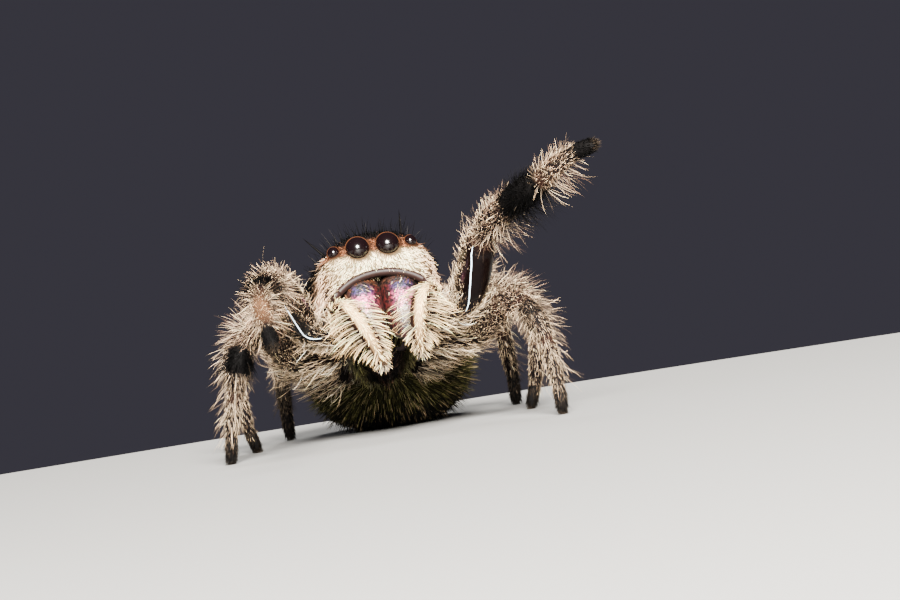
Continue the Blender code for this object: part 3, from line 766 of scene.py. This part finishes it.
flesh = ["carapace", "underside", "pedicel", "abdomen", "spinnerets"]
flesh += [f"palp_{name}" for name in SIDES.values()]
flesh += [f"leg_{leg}_{name}_{segment}" for leg in COXAE for name in SIDES.values()
          for segment in SEGMENTS]
skin_piece("skin", [PROSOMA, ABDOMEN, WAIST, *SPINNERETS, *LEGS.values(), *PALPS.values()],
           SKIN, "cuticle_dark", *flesh)
rims = np.array([eye_rim(name, side) for name in EYES for side in SIDES])
index = np.arange(rims[..., 0].size).reshape(rims.shape[:3])
after = np.roll(index, -1, axis=1)
faces = np.stack([index, np.roll(index, -1, axis=2), np.roll(after, -1, axis=2), after], axis=-1)
closed_piece("eye_rims", rims.reshape(-1, 3), faces.reshape(-1, 4).tolist(), RIM,
             SKIN, "cuticle_dark")

# %% [markdown]
# ## Bare shell
#
# Two places are naked and polished: the lip under the face, an arch that sinks into
# the edge of the hollow, and the femora of the forelegs.  Each of the two femora
# gets a sleeve with one sharp edge, and along that edge a pale blue-white line that
# is a painted highlight, standing for the shine of the edge.

# %% Lip and bare femora
RIDGES = {LEFT: unit([-0.50, -0.85, 0.0]), RIGHT: unit([-0.20, -0.95, -0.15])}
# The second table on the next line gives the joint number at which each femur's painted highlight line
# begins.
RIDGE_TWISTS, HIGHLIGHT_LINE_STARTS = {LEFT: 0.9, RIGHT: 0.3}, {LEFT: 1.08, RIGHT: 0.88}


def lip_grid(columns=20):
    """A tube along the arch x = a sin, z = b cos on the front of the face."""
    sweep = np.radians(np.linspace(-76, 76, 25))
    start = np.column_stack([1.70 * np.sin(sweep), np.full(25, -1.0), -0.55 + 1.24 * np.cos(sweep)])
    ways = np.ones((25, 1)) * FORWARD
    path = through(start + ways * (cast(shield_test, start, ways, 2.4) - 0.10)[:, None], 6)
    path, _ = evened(path, path[:, 0], spacing=0.05)
    taper = rounded_ends(len(path), 8, 8)
    return from_prosoma(tube(path, -FORWARD, (0, -1.0, 0.3), 0.15 * taper, 0.12 * taper, columns)[0])


def ridged(one):
    """A foreleg with one edge that looks the ridge's way, and each point's angle from it.

    Radius = 1.13 r / (|cos|^1.6 + |sin|^1.6)^(1/1.6) of that angle, and r at both ends."""
    ridge, number = RIDGES[one.side], one.number
    angle = one.turn - np.arctan2(one.across @ ridge, one.up @ ridge)
    angle = angle + (1.9 - number) * RIDGE_TWISTS[one.side]
    power = np.abs(np.cos(angle)) ** 1.6 + np.abs(np.sin(angle)) ** 1.6
    swell = 0.92 + 0.21 * ramp(1.22, 1.40, number) * ramp(1.92, 1.74, number)
    middle = one.points.mean(axis=1, keepdims=True)
    points = middle + (one.points - middle) * (swell / power ** (1 / 1.6))[..., None]
    return points, (angle + np.pi) % (2 * np.pi) - np.pi


def sleeve(one, first=1.22, last=1.98):
    """The ridged rings of a leg between two joint numbers, closed at both ends."""
    rings = ridged(one)[0][(one.number[:, 0] > first) & (one.number[:, 0] < last)]
    ends = [rings[k].mean(axis=0) + 0 * rings[:1] for k in (0, -1)]
    return plain(np.concatenate([ends[0], rings, ends[1]]), SHELL_BLACK)


def painted_highlight_line(one):
    """A painted highlight along the edge of the naked femur: a thin pale blue-white tube, just clear
    of the skin.
    """
    points, angle = ridged(one)
    weight = bump(angle, 0, 0.22)[..., None]
    edge, skin = ((grid * weight).sum(axis=1) / weight.sum(axis=1) for grid in (points, one.points))
    middle, number = points.mean(axis=1), one.number[:, 0]
    deep, deeper = (np.linalg.norm(line - middle, axis=1, keepdims=True) for line in (edge, skin))
    path = middle + np.maximum(1.04, 1.06 * deeper / deep) * (edge - middle)
    path = path[(number > HIGHLIGHT_LINE_STARTS[one.side]) & (number < 1.90)]
    width = 0.019 * rounded_ends(len(path), 12, 12)
    return plain(tube(path, (1, 0, 0), FORWARD, width, width, 10)[0], PAINTED_HIGHLIGHT)


LIP = plain(lip_grid(), LIP_BROWN)
skin_piece("lip", [LIP], SATIN, "cuticle_dark")
for side, side_name in SIDES.items():
    skin_piece(f"bare_femur_{side_name}", [sleeve(LEGS[1, side])], SHELL, "cuticle_dark")
    # Each femur line is a painted highlight: a pale blue-white tube that stands for the shine along
    # the femur's edge.
    skin_piece(f"femur_highlight_line_{side_name}", [painted_highlight_line(LEGS[1, side])], SATIN, "coat_grey")

# %% [markdown]
# ## Eyes
#
# Four pairs, all polished balls that sit in the face to more than half their depth.
# The two big ones look straight ahead.

# %% Eyes
CLEAR_OF_SOLID = 1.03        # a lens is this much larger than its ball in the solid model
for name, (radius, place, _) in EYES.items():
    for side, side_name in SIDES.items():
        ball = from_prosoma(np.array(place) * (side, 1, 1)) + CLEAR_OF_SOLID * radius * globe(24, 40)
        skin_piece(f"lens_{name}_{side_name}", [plain(ball, BLACK)], LENS, "eye_black",
                   f"eye_{name}_{side_name}")

# %% [markdown]
# ## Jaws and fangs
#
# Each jaw is a stout column that hangs under the lip.  Its upper half has blue and
# violet scales and its lower half pink ones, with a dark red-brown furrow where
# the two jaws meet.

# %% Jaws
JAW_PATH = ((0.57, -1.85, 0.86), (0.58, -2.08, 0.52), (0.59, -2.22, 0.0),
            (0.57, -2.22, -0.55), (0.53, -2.12, -1.05), (0.50, -2.02, -1.30))
JAW_STOPS = (0, 0.12, 0.3, 0.55, 0.8, 1)
JAW_WIDTHS, JAW_DEPTHS = (0.54, 0.58, 0.60, 0.57, 0.46, 0.26), (0.40, 0.50, 0.56, 0.56, 0.44, 0.24)


def jaw_form(side, columns=44):
    """A tube whose half width swells from 0.54 to 0.60 mm and narrows again."""
    path = through(np.array(JAW_PATH) * (side, 1, 1), 12)
    width, depth = (np.interp(np.linspace(0, 1, len(path)), JAW_STOPS, sizes)
                    * rounded_ends(len(path), 5, 5) for sizes in (JAW_WIDTHS, JAW_DEPTHS))
    local, _ = tube(path, (1, 0, 0), FORWARD, width, depth, columns)
    inner, up = np.abs(local[..., 0]), local[..., 2]
    tint = painted(JAW_PINK, (JAW_BLUE, ramp(-0.10, 0.12, up)), (JAW_RED, ramp(0.42, 0.16, inner)),
                   (JAW_RED * 0.6, ramp(-0.35, -0.65, up)), (SHELL_BROWN, ramp(0.26, 0.42, up)),
                   (SHELL_BROWN, ramp(0.80, 1.00, inner)))
    coat = painted(CREAM, (RUST, ramp(0.15, 0.35, up)))
    return form(from_prosoma(local), skin=tint, coat=coat, local=local)


def fang_form(side):
    """A curved claw that tapers evenly and folds in under the jaw."""
    sweep = np.linspace(0, 1, 6)
    path = np.column_stack([side * (0.56 - 0.40 * sweep), -1.98 + 0.34 * sweep,
                            -1.20 - 0.26 * np.sin(0.8 * np.pi * sweep)])
    return small_tube(from_prosoma(path), 6, (0.13, 0.10, 0.07, 0.03), AXES[:, 1], 16, SHELL_BLACK)


JAWS = {side: jaw_form(side) for side in SIDES}
for side, side_name in SIDES.items():
    skin_piece(f"jaw_{side_name}", [JAWS[side]], JAW, "jaw_violet", f"chelicera_{side_name}")
    skin_piece(f"jaw_claw_{side_name}", [fang_form(side)], SKIN, "fang_brown", f"fang_{side_name}")

# %% [markdown]
# ## Hair
#
# A hair is a curved needle of three sides that tapers to a point: its direction
# turns steadily from the one at its root to the one at its tip, so its middle line
# is root + length (start t + (end - start) t^2 / 2).  Thousands of them are made at
# once as arrays.  Roots are sown at random, with as many to each square millimetre
# as a density field says.  Each hair also gets a small patch in the OFBake map, at
# the place of its root on the grid of the skin that it grows from.

# %% Sow and grow
PATCH = 0.003


def read(field, where):
    """A field at places between the grid's points, from the four points round each.

    A plain number or vector stays as it is."""
    if np.ndim(field) < 2:
        return np.asarray(field, float)
    rows, columns = where
    i, j = rows.astype(int), columns.astype(int)
    f, g = rows - i, columns - j
    if field.ndim == 3:
        f, g = f[:, None], g[:, None]
    below, after, j = np.minimum(i + 1, len(field) - 1), (j + 1) % field.shape[1], j % field.shape[1]
    return ((1 - f) * ((1 - g) * field[i, j] + g * field[i, after])
            + f * ((1 - g) * field[below, j] + g * field[below, after]))


def sow(one, density, rng):
    """Random grid places, cells drawn in proportion to area times density, and their normals."""
    weight = (one.area * density)[:-1]
    total = weight.sum()
    pick = np.searchsorted(np.cumsum(weight), rng.random(int(total)) * total)
    rows, columns = np.unravel_index(np.minimum(pick, weight.size - 1), weight.shape)
    where = rows + rng.random(len(rows)), columns + rng.random(len(rows))
    return where, unit(read(one.normals, where))


def needle(steps):
    """Faces and map corners of one hair: rings of three points, and the tip."""
    faces, corners = [(0, 2, 1)], [(0, 0), (2, 0), (1, 0)]
    for k in range(steps):
        for s in range(3):
            a, b = 3 * k + s, 3 * k + (s + 1) % 3
            if k == steps - 1:
                faces.append((a, b, 3 * steps))
                corners += [(s, k), (s + 1, k), (s + 0.5, k + 1)]
            else:
                faces += [(a, b, b + 3), (a, b + 3, a + 3)]
                corners += [(s, k), (s + 1, k), (s + 1, k + 1), (s, k), (s + 1, k + 1), (s, k + 1)]
    return np.array(faces), (np.array(corners, float) / (3, steps) - 0.5) * PATCH


def grow(one, where, start, end, length, radius, root_tint, tip_tint, steps):
    """Hairs as arrays: points, faces, map corners and colours."""
    roots, normals = read(one.points, where), unit(read(one.normals, where))
    start, end, count = unit(start), unit(end), len(roots)
    t = np.linspace(0, 1, steps + 1)[None, :, None]
    length, radius = (np.broadcast_to(size, count)[:, None, None] for size in (length, radius))
    line = (roots[:, None] - 0.06 * length * normals[:, None]) + length * (
        start[:, None] * t + 0.5 * (end - start)[:, None] * t ** 2)
    way = unit(start[:, None] + (end - start)[:, None] * t)
    first = unit(np.cross(way, normals[:, None] + 0.31))
    second, turn = np.cross(way, first), around(3)[:, None]
    ring = np.cos(turn) * first[:, :, None] + np.sin(turn) * second[:, :, None]
    thick = (radius * np.maximum(1 - t, 0) ** 0.65)[..., None]
    body = (line[:, :, None] + thick * ring)[:, :-1].reshape(count, -1, 3)
    points = np.concatenate([body, line[:, -1:]], axis=1)
    points[..., 2] = np.maximum(points[..., 2], 0.004 - SHIFT[2])
    share = np.concatenate([np.repeat(t[0, :-1, 0] ** 2.0, 3), [1.0]])
    tint = painted(root_tint[:, None], (tip_tint[:, None], share[None, :]))
    faces, corners = needle(steps)
    faces = faces + np.arange(count)[:, None, None] * points.shape[1]
    rows, columns = one.area.shape
    place = np.column_stack([0.01 + 0.98 * where[1] / columns, 0.01 + 0.98 * where[0] / rows])
    uv = place[:, None] + corners
    return [points.reshape(-1, 3), faces.reshape(-1, 3), uv.reshape(-1, 2), tint.reshape(-1, 3)]


def coat_piece(name, batches, *finish):
    """One mesh of several batches of hairs, with its colours and its OFBake map."""
    offsets = np.cumsum([0] + [len(batch[0]) for batch in batches[:-1]])
    for batch, offset in zip(batches, offsets):
        batch[1] = batch[1] + offset
    points, faces, uv, tint = (np.vstack(parts) for parts in zip(*batches))
    mesh = bpy.data.meshes.new(name)
    mesh.vertices.add(len(points))
    mesh.vertices.foreach_set("co", to_metres(points).ravel())
    mesh.loops.add(faces.size)
    mesh.loops.foreach_set("vertex_index", faces.ravel())
    mesh.polygons.add(len(faces))
    mesh.polygons.foreach_set("loop_start", np.arange(len(faces)) * 3)
    mesh.update(calc_edges=True)
    mesh.shade_smooth()
    mesh.uv_layers.new(name="OFBake").data.foreach_set("uv", uv.ravel())
    print(name, len(faces), "triangles")
    new_piece(name, mesh, tint, *finish)


# %% [markdown]
# Hairs differ from their neighbours: each leans a little its own way, the hairs of
# one lock lean together, and some take another colour than the coat's at their root.

# %% Variety
def lifted(normal, lie, angle):
    """A way that leaves the lie of the coat by an angle: sine up, cosine along."""
    return normal * np.sin(angle)[:, None] + lie * np.cos(angle)[:, None]


def jitter(rng, count, amount):
    """Small random vectors."""
    return rng.normal(size=(count, 3)) * amount


def locks(rng, where, amount, cells=2):
    """A small turn shared by the hairs of one lock: a random vector for each few cells."""
    names = (where[0] / cells).astype(int) * 997 + (where[1] / cells).astype(int)
    different, member = np.unique(names, return_inverse=True)
    return (rng.normal(size=(len(different), 3)) * amount)[member]


def dim(tint, share):
    """A darker and greyer tint for the root of a hair."""
    return share * (0.6 * tint + 0.4 * tint.mean(axis=1, keepdims=True))


def mixed(rng, base, others, fewer=0.0, darkest=-1.2):
    """Each hair's colour: its base, or for a share of them one of the other colours."""
    draw, level, tint = rng.random(len(base)), 0.0, base.copy()
    for share, colour, depth in others:
        share = share * (1 - fewer)
        chosen = (draw >= level) & (draw < level + share)
        tint[chosen] = painted(tint[chosen], (colour, depth))
        level = level + share
    return np.minimum(tint * np.exp(rng.uniform(darkest, 0.45, (len(base), 1))), 0.95)


# %% [markdown]
# ## The coat of a leg
#
# Short scales lie along the leg and carry its colour, and a shaggier layer of pale
# hairs stands well off it and curves towards its tip, longest on one side of the
# leg.  The front of each raised femur is bare and polished.

# %% Leg coats
BARE_WAYS = {LEFT: unit([0.45, -0.90, 0.0]), RIGHT: unit([0.60, -0.70, 0.40])}
BARE_EDGES = {LEFT: 0.28, RIGHT: 0.55}


def leg_layer(one, rng, density, length, radius, lift, curl, others, steps):
    """One layer of hairs on a leg; lift and curl are angles from the skin."""
    where, normal = sow(one, density, rng)
    count, along = len(normal), read(one.along, where)
    lift = read(lift, where) + rng.normal(size=count) * 0.14
    lowered = lift - curl * rng.uniform(0.3, 1.5, count)
    turn = locks(rng, where, 0.06)
    length = read(length, where) * rng.uniform(0.40, 1.42, count)
    tint = mixed(rng, read(one.coat, where), others, read(one.dark, where))
    return grow(one, where, lifted(normal, along, lift) + jitter(rng, count, 0.09) + 0.5 * turn,
                lifted(normal, along, lowered) + jitter(rng, count, 0.16) + turn, length,
                radius * rng.uniform(0.75, 1.25, count), dim(tint, 0.18), tint, steps)


def bare_face(one):
    """0 on the naked front of a raised femur, 1 elsewhere."""
    if one.leg != 1:
        return 1.0
    facing = one.normals @ BARE_WAYS[one.side] - BARE_EDGES[one.side]
    femur = ramp(1.18, 1.34, one.number) * ramp(2.02, 1.90, one.number)
    # The coat is left off a strip along the femur's edge, where the painted highlight line lies.
    strip = bump(ridged(one)[1], 0, 0.40) * ramp(0.74, 0.86, one.number) * (one.number < 1.9)
    return 1 - 0.99 * np.maximum(ramp(0, 0.32, facing) * femur, strip)


def leg_coat(one, rng):
    """Scales, a stiff pale fringe, a skirt, a few fine wisps, and the tuft under the claws."""
    number, dark, bare, front_leg = one.number, one.dark, bare_face(one), one.leg == 1
    thin = 0.85 if one.leg > 2 else 1.0
    stiff, hang = (0.36, 0.50) if front_leg else (0.12, 0.15)
    under = 0.5 - 0.5 * np.cos(one.turn)
    foot, root = ramp(4.9, 5.2, number), ramp(1.4, 0.9, number)
    shaggy = ramp(1.6, 2.2, number) * (1 - foot)
    outer = under ** 2 if front_leg else (1 - under) ** 2
    calm = ramp(3.6, 4.1, number) * (0.0 if front_leg else 1.0) * (1 - outer)
    long = (0.36 + 0.24 * root + 0.06 * shaggy + 0.42 * outer * shaggy) * (1 - 0.60 * foot) * thin
    lift = 0.75 + stiff * shaggy + hang * outer * shaggy - 0.40 * foot - 0.30 * calm
    density = (82 + 20 * front_leg * shaggy + 150 * dark) * bare * (1 - 0.6 * calm)
    wispy = (1.4 + 5 * under ** 2 * dark) * ramp(1.3, 1.8, number) * ramp(3.8, 3.3, number)
    # density, length, radius, lift, curl, other colours, steps
    return [
        leg_layer(one, rng, 360 * bare * (1 - 0.5 * root), 0.16, 0.0085, 0.38, 0.2,
                  ((0.36, BROWN, 0.85), (0.18, BLACK, 0.85), (0.20, PALE, 0.8)), 2),
        leg_layer(one, rng, density, long * (1 - 0.45 * calm), 0.0058, lift, 0.5,
                  ((0.42, PALE, 0.9), (0.36, BROWN, 0.85)), 3),
        leg_layer(recoloured(one, PALE, dark=0.0), rng, 48 * root * bare, 0.75, 0.0085, 0.85, 1.1,
                  ((0.20, WHITE, 0.6), (0.25, BROWN, 0.8)), 4),
        leg_layer(recoloured(one, PALE * 0.5, dark=0.0), rng, wispy, 0.85, 0.0042, lift, 0.7, (), 4),
        leg_layer(one, rng, 260 * ramp(5.6, 5.8, number), 0.13, 0.012, 0.5, 0.3,
                  ((0.4, GREY, 0.4),), 2)]


for (leg, side), one in LEGS.items():
    rng = np.random.default_rng(100 * leg + side)
    coat_piece(f"coat_leg_{leg}_{SIDES[side]}", leg_coat(one, rng), HAIR, "coat_tan")

# %% [markdown]
# ## The feathered palps
#
# On the hanging end of each palp the hairs leave a pale ridge down the front, swing
# out to both sides and curve down, like the vanes of a feather.

# %% Palp coats
def plume(one, rng):
    """The plume of the hanging end, and a plain coat on the rest."""
    hanging = ramp(0.42, 0.56, one.part)
    where, normal = sow(one, 200 - 142 * hanging + 190 * ramp(0.80, 0.94, one.part), rng)
    count, part = len(normal), read(one.part, where)
    lean = read(np.sin(one.turn), where) + rng.normal(size=count) * 0.15
    lean = lean * np.sign(read(one.across, where)[:, 0])
    hanging, low = read(hanging, where)[:, None], ramp(0.60, 1.0, part)[:, None]
    aside = painted(np.sign(lean)[:, None], (1.5 * lean[:, None], low[:, 0])) * (1.0, 0, 0)
    fall = painted(read(one.along, where), (DOWN, 0.7 * hanging[:, 0]))
    start = normal * 0.55 + fall * (0.5 - 0.5 * hanging + 0.5 * low)
    start = start + aside * hanging * (1.4 - 0.6 * low)
    end = normal * 0.05 + fall * (1.0 - 0.27 * hanging + 0.3 * low)
    end = end + aside * hanging * (0.9 - 0.65 * low)
    lock = locks(rng, where, 0.10)
    length = 0.26 + (0.62 + 0.26 * (aside[:, 0] * one.side > 0)) * hanging[:, 0]
    length = length * (1 - 0.74 * ramp(0.72, 0.94, part)) * rng.uniform(0.6, 1.2, count)
    tint = mixed(rng, read(one.coat, where), ((0.45, MILK, 0.8), (0.14, BROWN, 0.8)), 0.0, -0.7)
    return grow(one, where, start + jitter(rng, count, 0.06) + 0.4 * lock,
                end + jitter(rng, count, 0.08) + lock, length,
                0.0115 * rng.uniform(0.75, 1.3, count), dim(tint, 0.10), tint, 4)


def palp_ridge(one, rng):
    """Short hairs down the front that lie along the palp and part to both sides."""
    fading = ramp(0.30, 0.5, one.part) * (1 - 0.7 * ramp(0.60, 0.85, one.part))
    where, normal = sow(one, 700 * fading * ramp(0.70, 1.0, np.cos(one.turn)), rng)
    count, along = len(normal), read(one.along, where)
    tint = mixed(rng, read(one.coat, where), ((0.3, MILK, 0.8), (0.10, TAN, 0.8)), 0.0, -0.7)
    aside = read(np.sin(one.turn), where) + jitter(rng, count, 0.2)[:, 0]
    aside = read(one.across, where) * aside[:, None]
    return grow(one, where, normal * 0.5 + along + aside, normal * 0.1 + along + 1.6 * aside,
                0.17 * rng.uniform(0.5, 1.4, count), 0.0060, tint * 0.6, tint, 2)


for side, one in PALPS.items():
    rng = np.random.default_rng(40 + side)
    coat_piece(f"coat_palp_{SIDES[side]}", [plume(one, rng), palp_ridge(one, rng)],
               HAIR, "coat_cream")

# %% [markdown]
# ## The face and the rest of the prosoma
#
# The face is packed with very short hairs that lie down towards the lip.  Round
# each front eye they are rust coloured and point away from its rim.  Behind the
# eyes the crown is black, with fine hairs that stand up.

# %% Layers on the body
def lie_on(normal, way):
    """A way laid flat on the skin: less its part along the normal."""
    return unit(way - (way * normal).sum(axis=1, keepdims=True) * normal)


def face_flow(local):
    """Down and a little outwards on the face; straight away from any eye close by."""
    flow = local * (0.7, 0, 0) + (0, -0.2, -1.0)
    for radius, place, _ in EYES.values():
        for side in SIDES:
            away = local - np.array(place) * (side, 1, 1)
            gap = np.linalg.norm(away, axis=-1, keepdims=True) - radius
            flow = flow + 3.0 * bump(gap, 0.0, 0.16) * unit(away)
    return flow


def body_layer(one, rng, density, flow, length, radius, lift, curl, others, steps, deep=0.25):
    """One layer of hairs on the prosoma that lie along a flow in its own axes."""
    where, normal = sow(one, density, rng)
    count, lie = len(normal), lie_on(normal, read(flow, where) @ AXES.T)
    lift = lift + rng.normal(size=count) * 0.18
    tint = mixed(rng, read(one.coat, where), others, 0.0, -0.9 if deep < 0.3 else -0.35)
    length = read(length, where) * rng.uniform(0.6, 1.3, count)
    turn = locks(rng, where, 0.18)
    return grow(one, where, lifted(normal, lie, lift) + jitter(rng, count, 0.12) + turn,
                lifted(normal, lie, lift - curl) + jitter(rng, count, 0.15) + turn, length,
                radius * rng.uniform(0.75, 1.25, count), dim(tint, deep), tint, steps)


def bristle(root, way, length, radius):
    """One thick hair with its root at the skin's nearest grid point."""
    gaps = np.linalg.norm(PROSOMA.local - np.array(root), axis=-1)
    where = [np.array([float(k)]) for k in np.unravel_index(np.argmin(gaps), gaps.shape)]
    way, ink = unit(np.array([way]) @ AXES.T), BLACK[None]
    return grow(PROSOMA, where, way, way + 0.15 * AXES[:, 1], length, radius, ink, ink, 4)


# %% Prosoma coat
left, back, up = np.moveaxis(PROSOMA.local, -1, 0)
front, low = ramp(-1.75, -2.15, back), ramp(-0.05, -0.35, up)
crown, dry = ramp(1.68, 1.82, up) * (1 - low), 1 - in_mouth(PROSOMA.local, 0.08)
clear_of_eyes = ramp(0.01, 0.05, near_eyes(PROSOMA.local))
cheek, flow = ramp(0.8, 1.7, np.abs(left)), face_flow(PROSOMA.local)
low_cheek = ramp(1.0, 1.6, np.abs(left)) * bump(up, 0.15, 0.5) * bump(back, -2.0, 0.9)
on_face = front * (1 - low) * dry * clear_of_eyes
rng = np.random.default_rng(7)
# density, flow, length, radius, lift, curl, other colours, steps
coat_piece("coat_face", [
    body_layer(PROSOMA, rng, 640 * on_face * (1 - 0.85 * crown) * (1 - 0.66 * cheek), flow,
               0.15 + 0.03 * cheek, 0.0095, 0.38, 0.2, ((0.10, BROWN, 0.6),), 2, 0.45),
    body_layer(PROSOMA, rng, 26 * on_face * cheek * (1 - crown), flow, 0.25, 0.0095, 0.7, 0.4,
               ((0.3, PALE, 0.8), (0.45, BROWN, 0.9)), 3),
    body_layer(PROSOMA, rng, 26 * low_cheek * dry, flow, 0.62, 0.0105, 0.8, 0.7,
               ((0.5, PALE, 0.8), (0.28, BROWN, 0.9)), 4)], HAIR, "coat_cream")
top_edge = ramp(0.70, 0.95, LIP.normals @ (AXES @ unit([0.0, -0.70, 0.70])))
down = ((LIP.points - PROSOMA_CENTRE) @ AXES) * (0.35, 0, 0) + (0, -0.3, -1.0)
coat_piece("coat_lip", [
    body_layer(recoloured(LIP, MILK), rng, 230 * top_edge, down, 0.24, 0.0070, 0.60, 0.6,
               ((0.35, BROWN, 0.8), (0.3, CREAM, 0.6)), 3)], HAIR, "coat_cream")
night = recoloured(PROSOMA, BLACK)
coat_piece("coat_carapace", [
    body_layer(PROSOMA, rng, 260 * (1 - front) * (1 - low) * (1 - crown * 0.3), (0, 0.5, -1), 0.28,
               0.013, 0.45, 0.3, ((0.10, TAN, 0.5),), 2),
    body_layer(night, rng, 330 * crown * clear_of_eyes, (0, 1.0, 0.2), 0.17, 0.011, 0.6, 0.2, (), 2),
    body_layer(night, rng, 30 * crown * clear_of_eyes, (0, 0.3, 1), 0.62, 0.0105, 1.25, -0.2,
               ((0.10, GREY, 0.12),), 3),
    bristle((-1.45, -2.25, 1.72), (-0.60, -0.15, 0.75), 1.00, 0.055),
    bristle((1.00, -2.30, 1.95), (0.10, -0.10, 1.0), 0.95, 0.050)], DARK_HAIR, "coat_black")
coat_piece("coat_underside", [
    body_layer(PROSOMA, rng, 110 * low * dry, (0, -0.3, -1), 0.45, 0.014, 0.8, 0.4,
               ((0.25, BROWN, 0.9),), 3)], HAIR, "coat_tan")

# %% [markdown]
# ## Hairs on the jaws and the abdomen
#
# The jaws have a few: golden ones close under the lip, and pale ones that cross the
# pink scales and leave the furrow bare.  The abdomen's coat is dense and lies back
# along the body, with the pale band, the spots and the dark underside that the skin
# has too.

# %% Jaw and abdomen coats
def jaw_layer(one, side, rng):
    """Thin hairs that lie down the jaw and inwards."""
    left, back, up = np.moveaxis(one.local, -1, 0)
    density = ramp(-1.7, -2.2, back) * ramp(0.12, 0.30, np.abs(left)) * ramp(-0.6, -0.2, up)
    density = density * (10 + 70 * ramp(0.2, 0.4, up))
    return body_layer(one, rng, density, (-0.5 * side, -0.2, -1.0), 0.26, 0.010, 0.35, 0.2,
                      ((0.3, PALE, 0.8),), 3)


def abdomen_layer(one, rng, density, length, radius, lift, curl, steps):
    """One layer of hairs that lie to the rear, clear of the floor."""
    where, normal = sow(one, density * ramp(0.0, 0.25, one.points[..., 2]), rng)
    count, lie = len(normal), lie_on(normal, -FORWARD)
    tilt = lift + rng.normal(size=count) * 0.15
    tint = mixed(rng, read(one.coat, where), ((0.12, PALE, 0.3), (0.30, BLACK, 0.8)))
    return grow(one, where, lifted(normal, lie, tilt) + jitter(rng, count, 0.12),
                lifted(normal, lie, tilt - curl), length * rng.uniform(0.7, 1.3, count), radius,
                tint * 0.25, tint, steps)


coat_piece("coat_jaws", [jaw_layer(JAWS[side], side, np.random.default_rng(60 + side))
                         for side in SIDES], HAIR, "coat_cream")
rng = np.random.default_rng(3)
coat_piece("coat_abdomen", [abdomen_layer(ABDOMEN, rng, 135, 0.27, 0.0115, 0.45, 0.3, 2),
                            abdomen_layer(ABDOMEN, rng, 34, 0.50, 0.009, 0.95, 0.5, 3)],
           HAIR, "coat_grey")

# %% [markdown]
# ## Floor, light and camera
#
# The spider stands at the back of a round pale table in front of a plain slate
# background.  A large soft lamp above the camera gives the single highlight in each
# eye, a weak lamp at the side fills the shadows, and one behind lights the back.

# %% Table, with a bevelled rim
TABLE_RADIUS, BEVEL, TABLE_SIDES = 0.075, 0.001, 96        # metres, and sides
turn = around(TABLE_SIDES)
rim = np.vstack([np.column_stack([radius * np.cos(turn), radius * np.sin(turn), height + 0 * turn])
                 for radius, height in ((TABLE_RADIUS - BEVEL, 0.0), (TABLE_RADIUS, -BEVEL))])
k = np.arange(TABLE_SIDES)
after = (k + 1) % TABLE_SIDES
faces = [k.tolist(), (k[::-1] + TABLE_SIDES).tolist()]
faces += np.column_stack([k, k + TABLE_SIDES, after + TABLE_SIDES, after]).tolist()
table_mesh = bpy.data.meshes.new("table_top")
table_mesh.from_pydata(rim.tolist(), [], faces)
table_mesh.materials.append(shader("pale_floor", Roughness=0.7,
                                   Base_Color=(0.062, 0.061, 0.058, 1))[0])
table = bpy.data.objects.new("table_top", table_mesh)
bpy.context.collection.objects.link(table)
eye_point = solid_eyes * MM
table.location = (0.0, eye_point[1] + 0.020 - TABLE_RADIUS, 0.0)


# %% Lamps
def place(name, data, spot, ahead, up):
    """An object that looks ahead from a spot, with its up as near the given one as can be."""
    ahead = unit(ahead)
    right = unit(np.cross(ahead, up))
    turn = np.column_stack([right, np.cross(right, ahead), -ahead])
    made = bpy.data.objects.new(name, data)
    made.matrix_world = Matrix.Translation(spot.tolist()) @ Matrix(turn.tolist()).to_4x4()
    bpy.context.collection.objects.link(made)
    return made


def lamp(name, azimuth, elevation, distance, size, watts, colour=(1, 1, 1), shines=True):
    """An area lamp that looks at the spider from an azimuth and an elevation."""
    a, e = math.radians(azimuth), math.radians(elevation)
    away = np.array([math.sin(a) * math.cos(e), -math.cos(a) * math.cos(e), math.sin(e)])
    data = bpy.data.lights.new(name, "AREA")
    data.shape, data.size, data.energy, data.color = "DISK", size, watts, colour
    place(name, data, away * distance + (0, 0, 0.004), -away, -DOWN).visible_glossy = shines


lamp("key", 4, 26, 0.24, 0.085, 21.0, (1.0, 0.96, 0.90))
lamp("fill", -75, 25, 0.25, 0.12, 0.60, (0.9, 0.95, 1.0), False)
lamp("top", 170, 65, 0.22, 0.10, 2.6, (1, 1, 1), False)
world = bpy.data.worlds.new("slate")
world.use_nodes = True
background = world.node_tree.nodes["Background"].inputs
background["Color"].default_value, background["Strength"].default_value = (0.045, 0.042, 0.055, 1), 1.0
bpy.context.scene.world = world

# %% Camera
ELEVATION, ROLL, DISTANCE = math.radians(1.2), math.radians(9.0), 0.160
AIM_ASIDE, AIM_BELOW = 0.00204, 0.00193      # of the point between the eyes, in metres
FRAME_WIDTH = 0.02687                        # what the view takes in at the eyes
camera_data = bpy.data.cameras.new("camera")
camera_data.sensor_width = 36.0
camera_data.lens = 36.0 * DISTANCE / FRAME_WIDTH
camera_data.clip_start, camera_data.clip_end = 0.01, 10.0
back = np.array([0, -math.cos(ELEVATION), math.sin(ELEVATION)])
level = np.array([1.0, 0, 0])
rise = np.cross(back, level)
aim = eye_point + level * AIM_ASIDE - rise * AIM_BELOW
camera = place("camera", camera_data, aim + back * DISTANCE, -back,
               math.sin(ROLL) * level + math.cos(ROLL) * rise)
bpy.context.scene.camera = camera
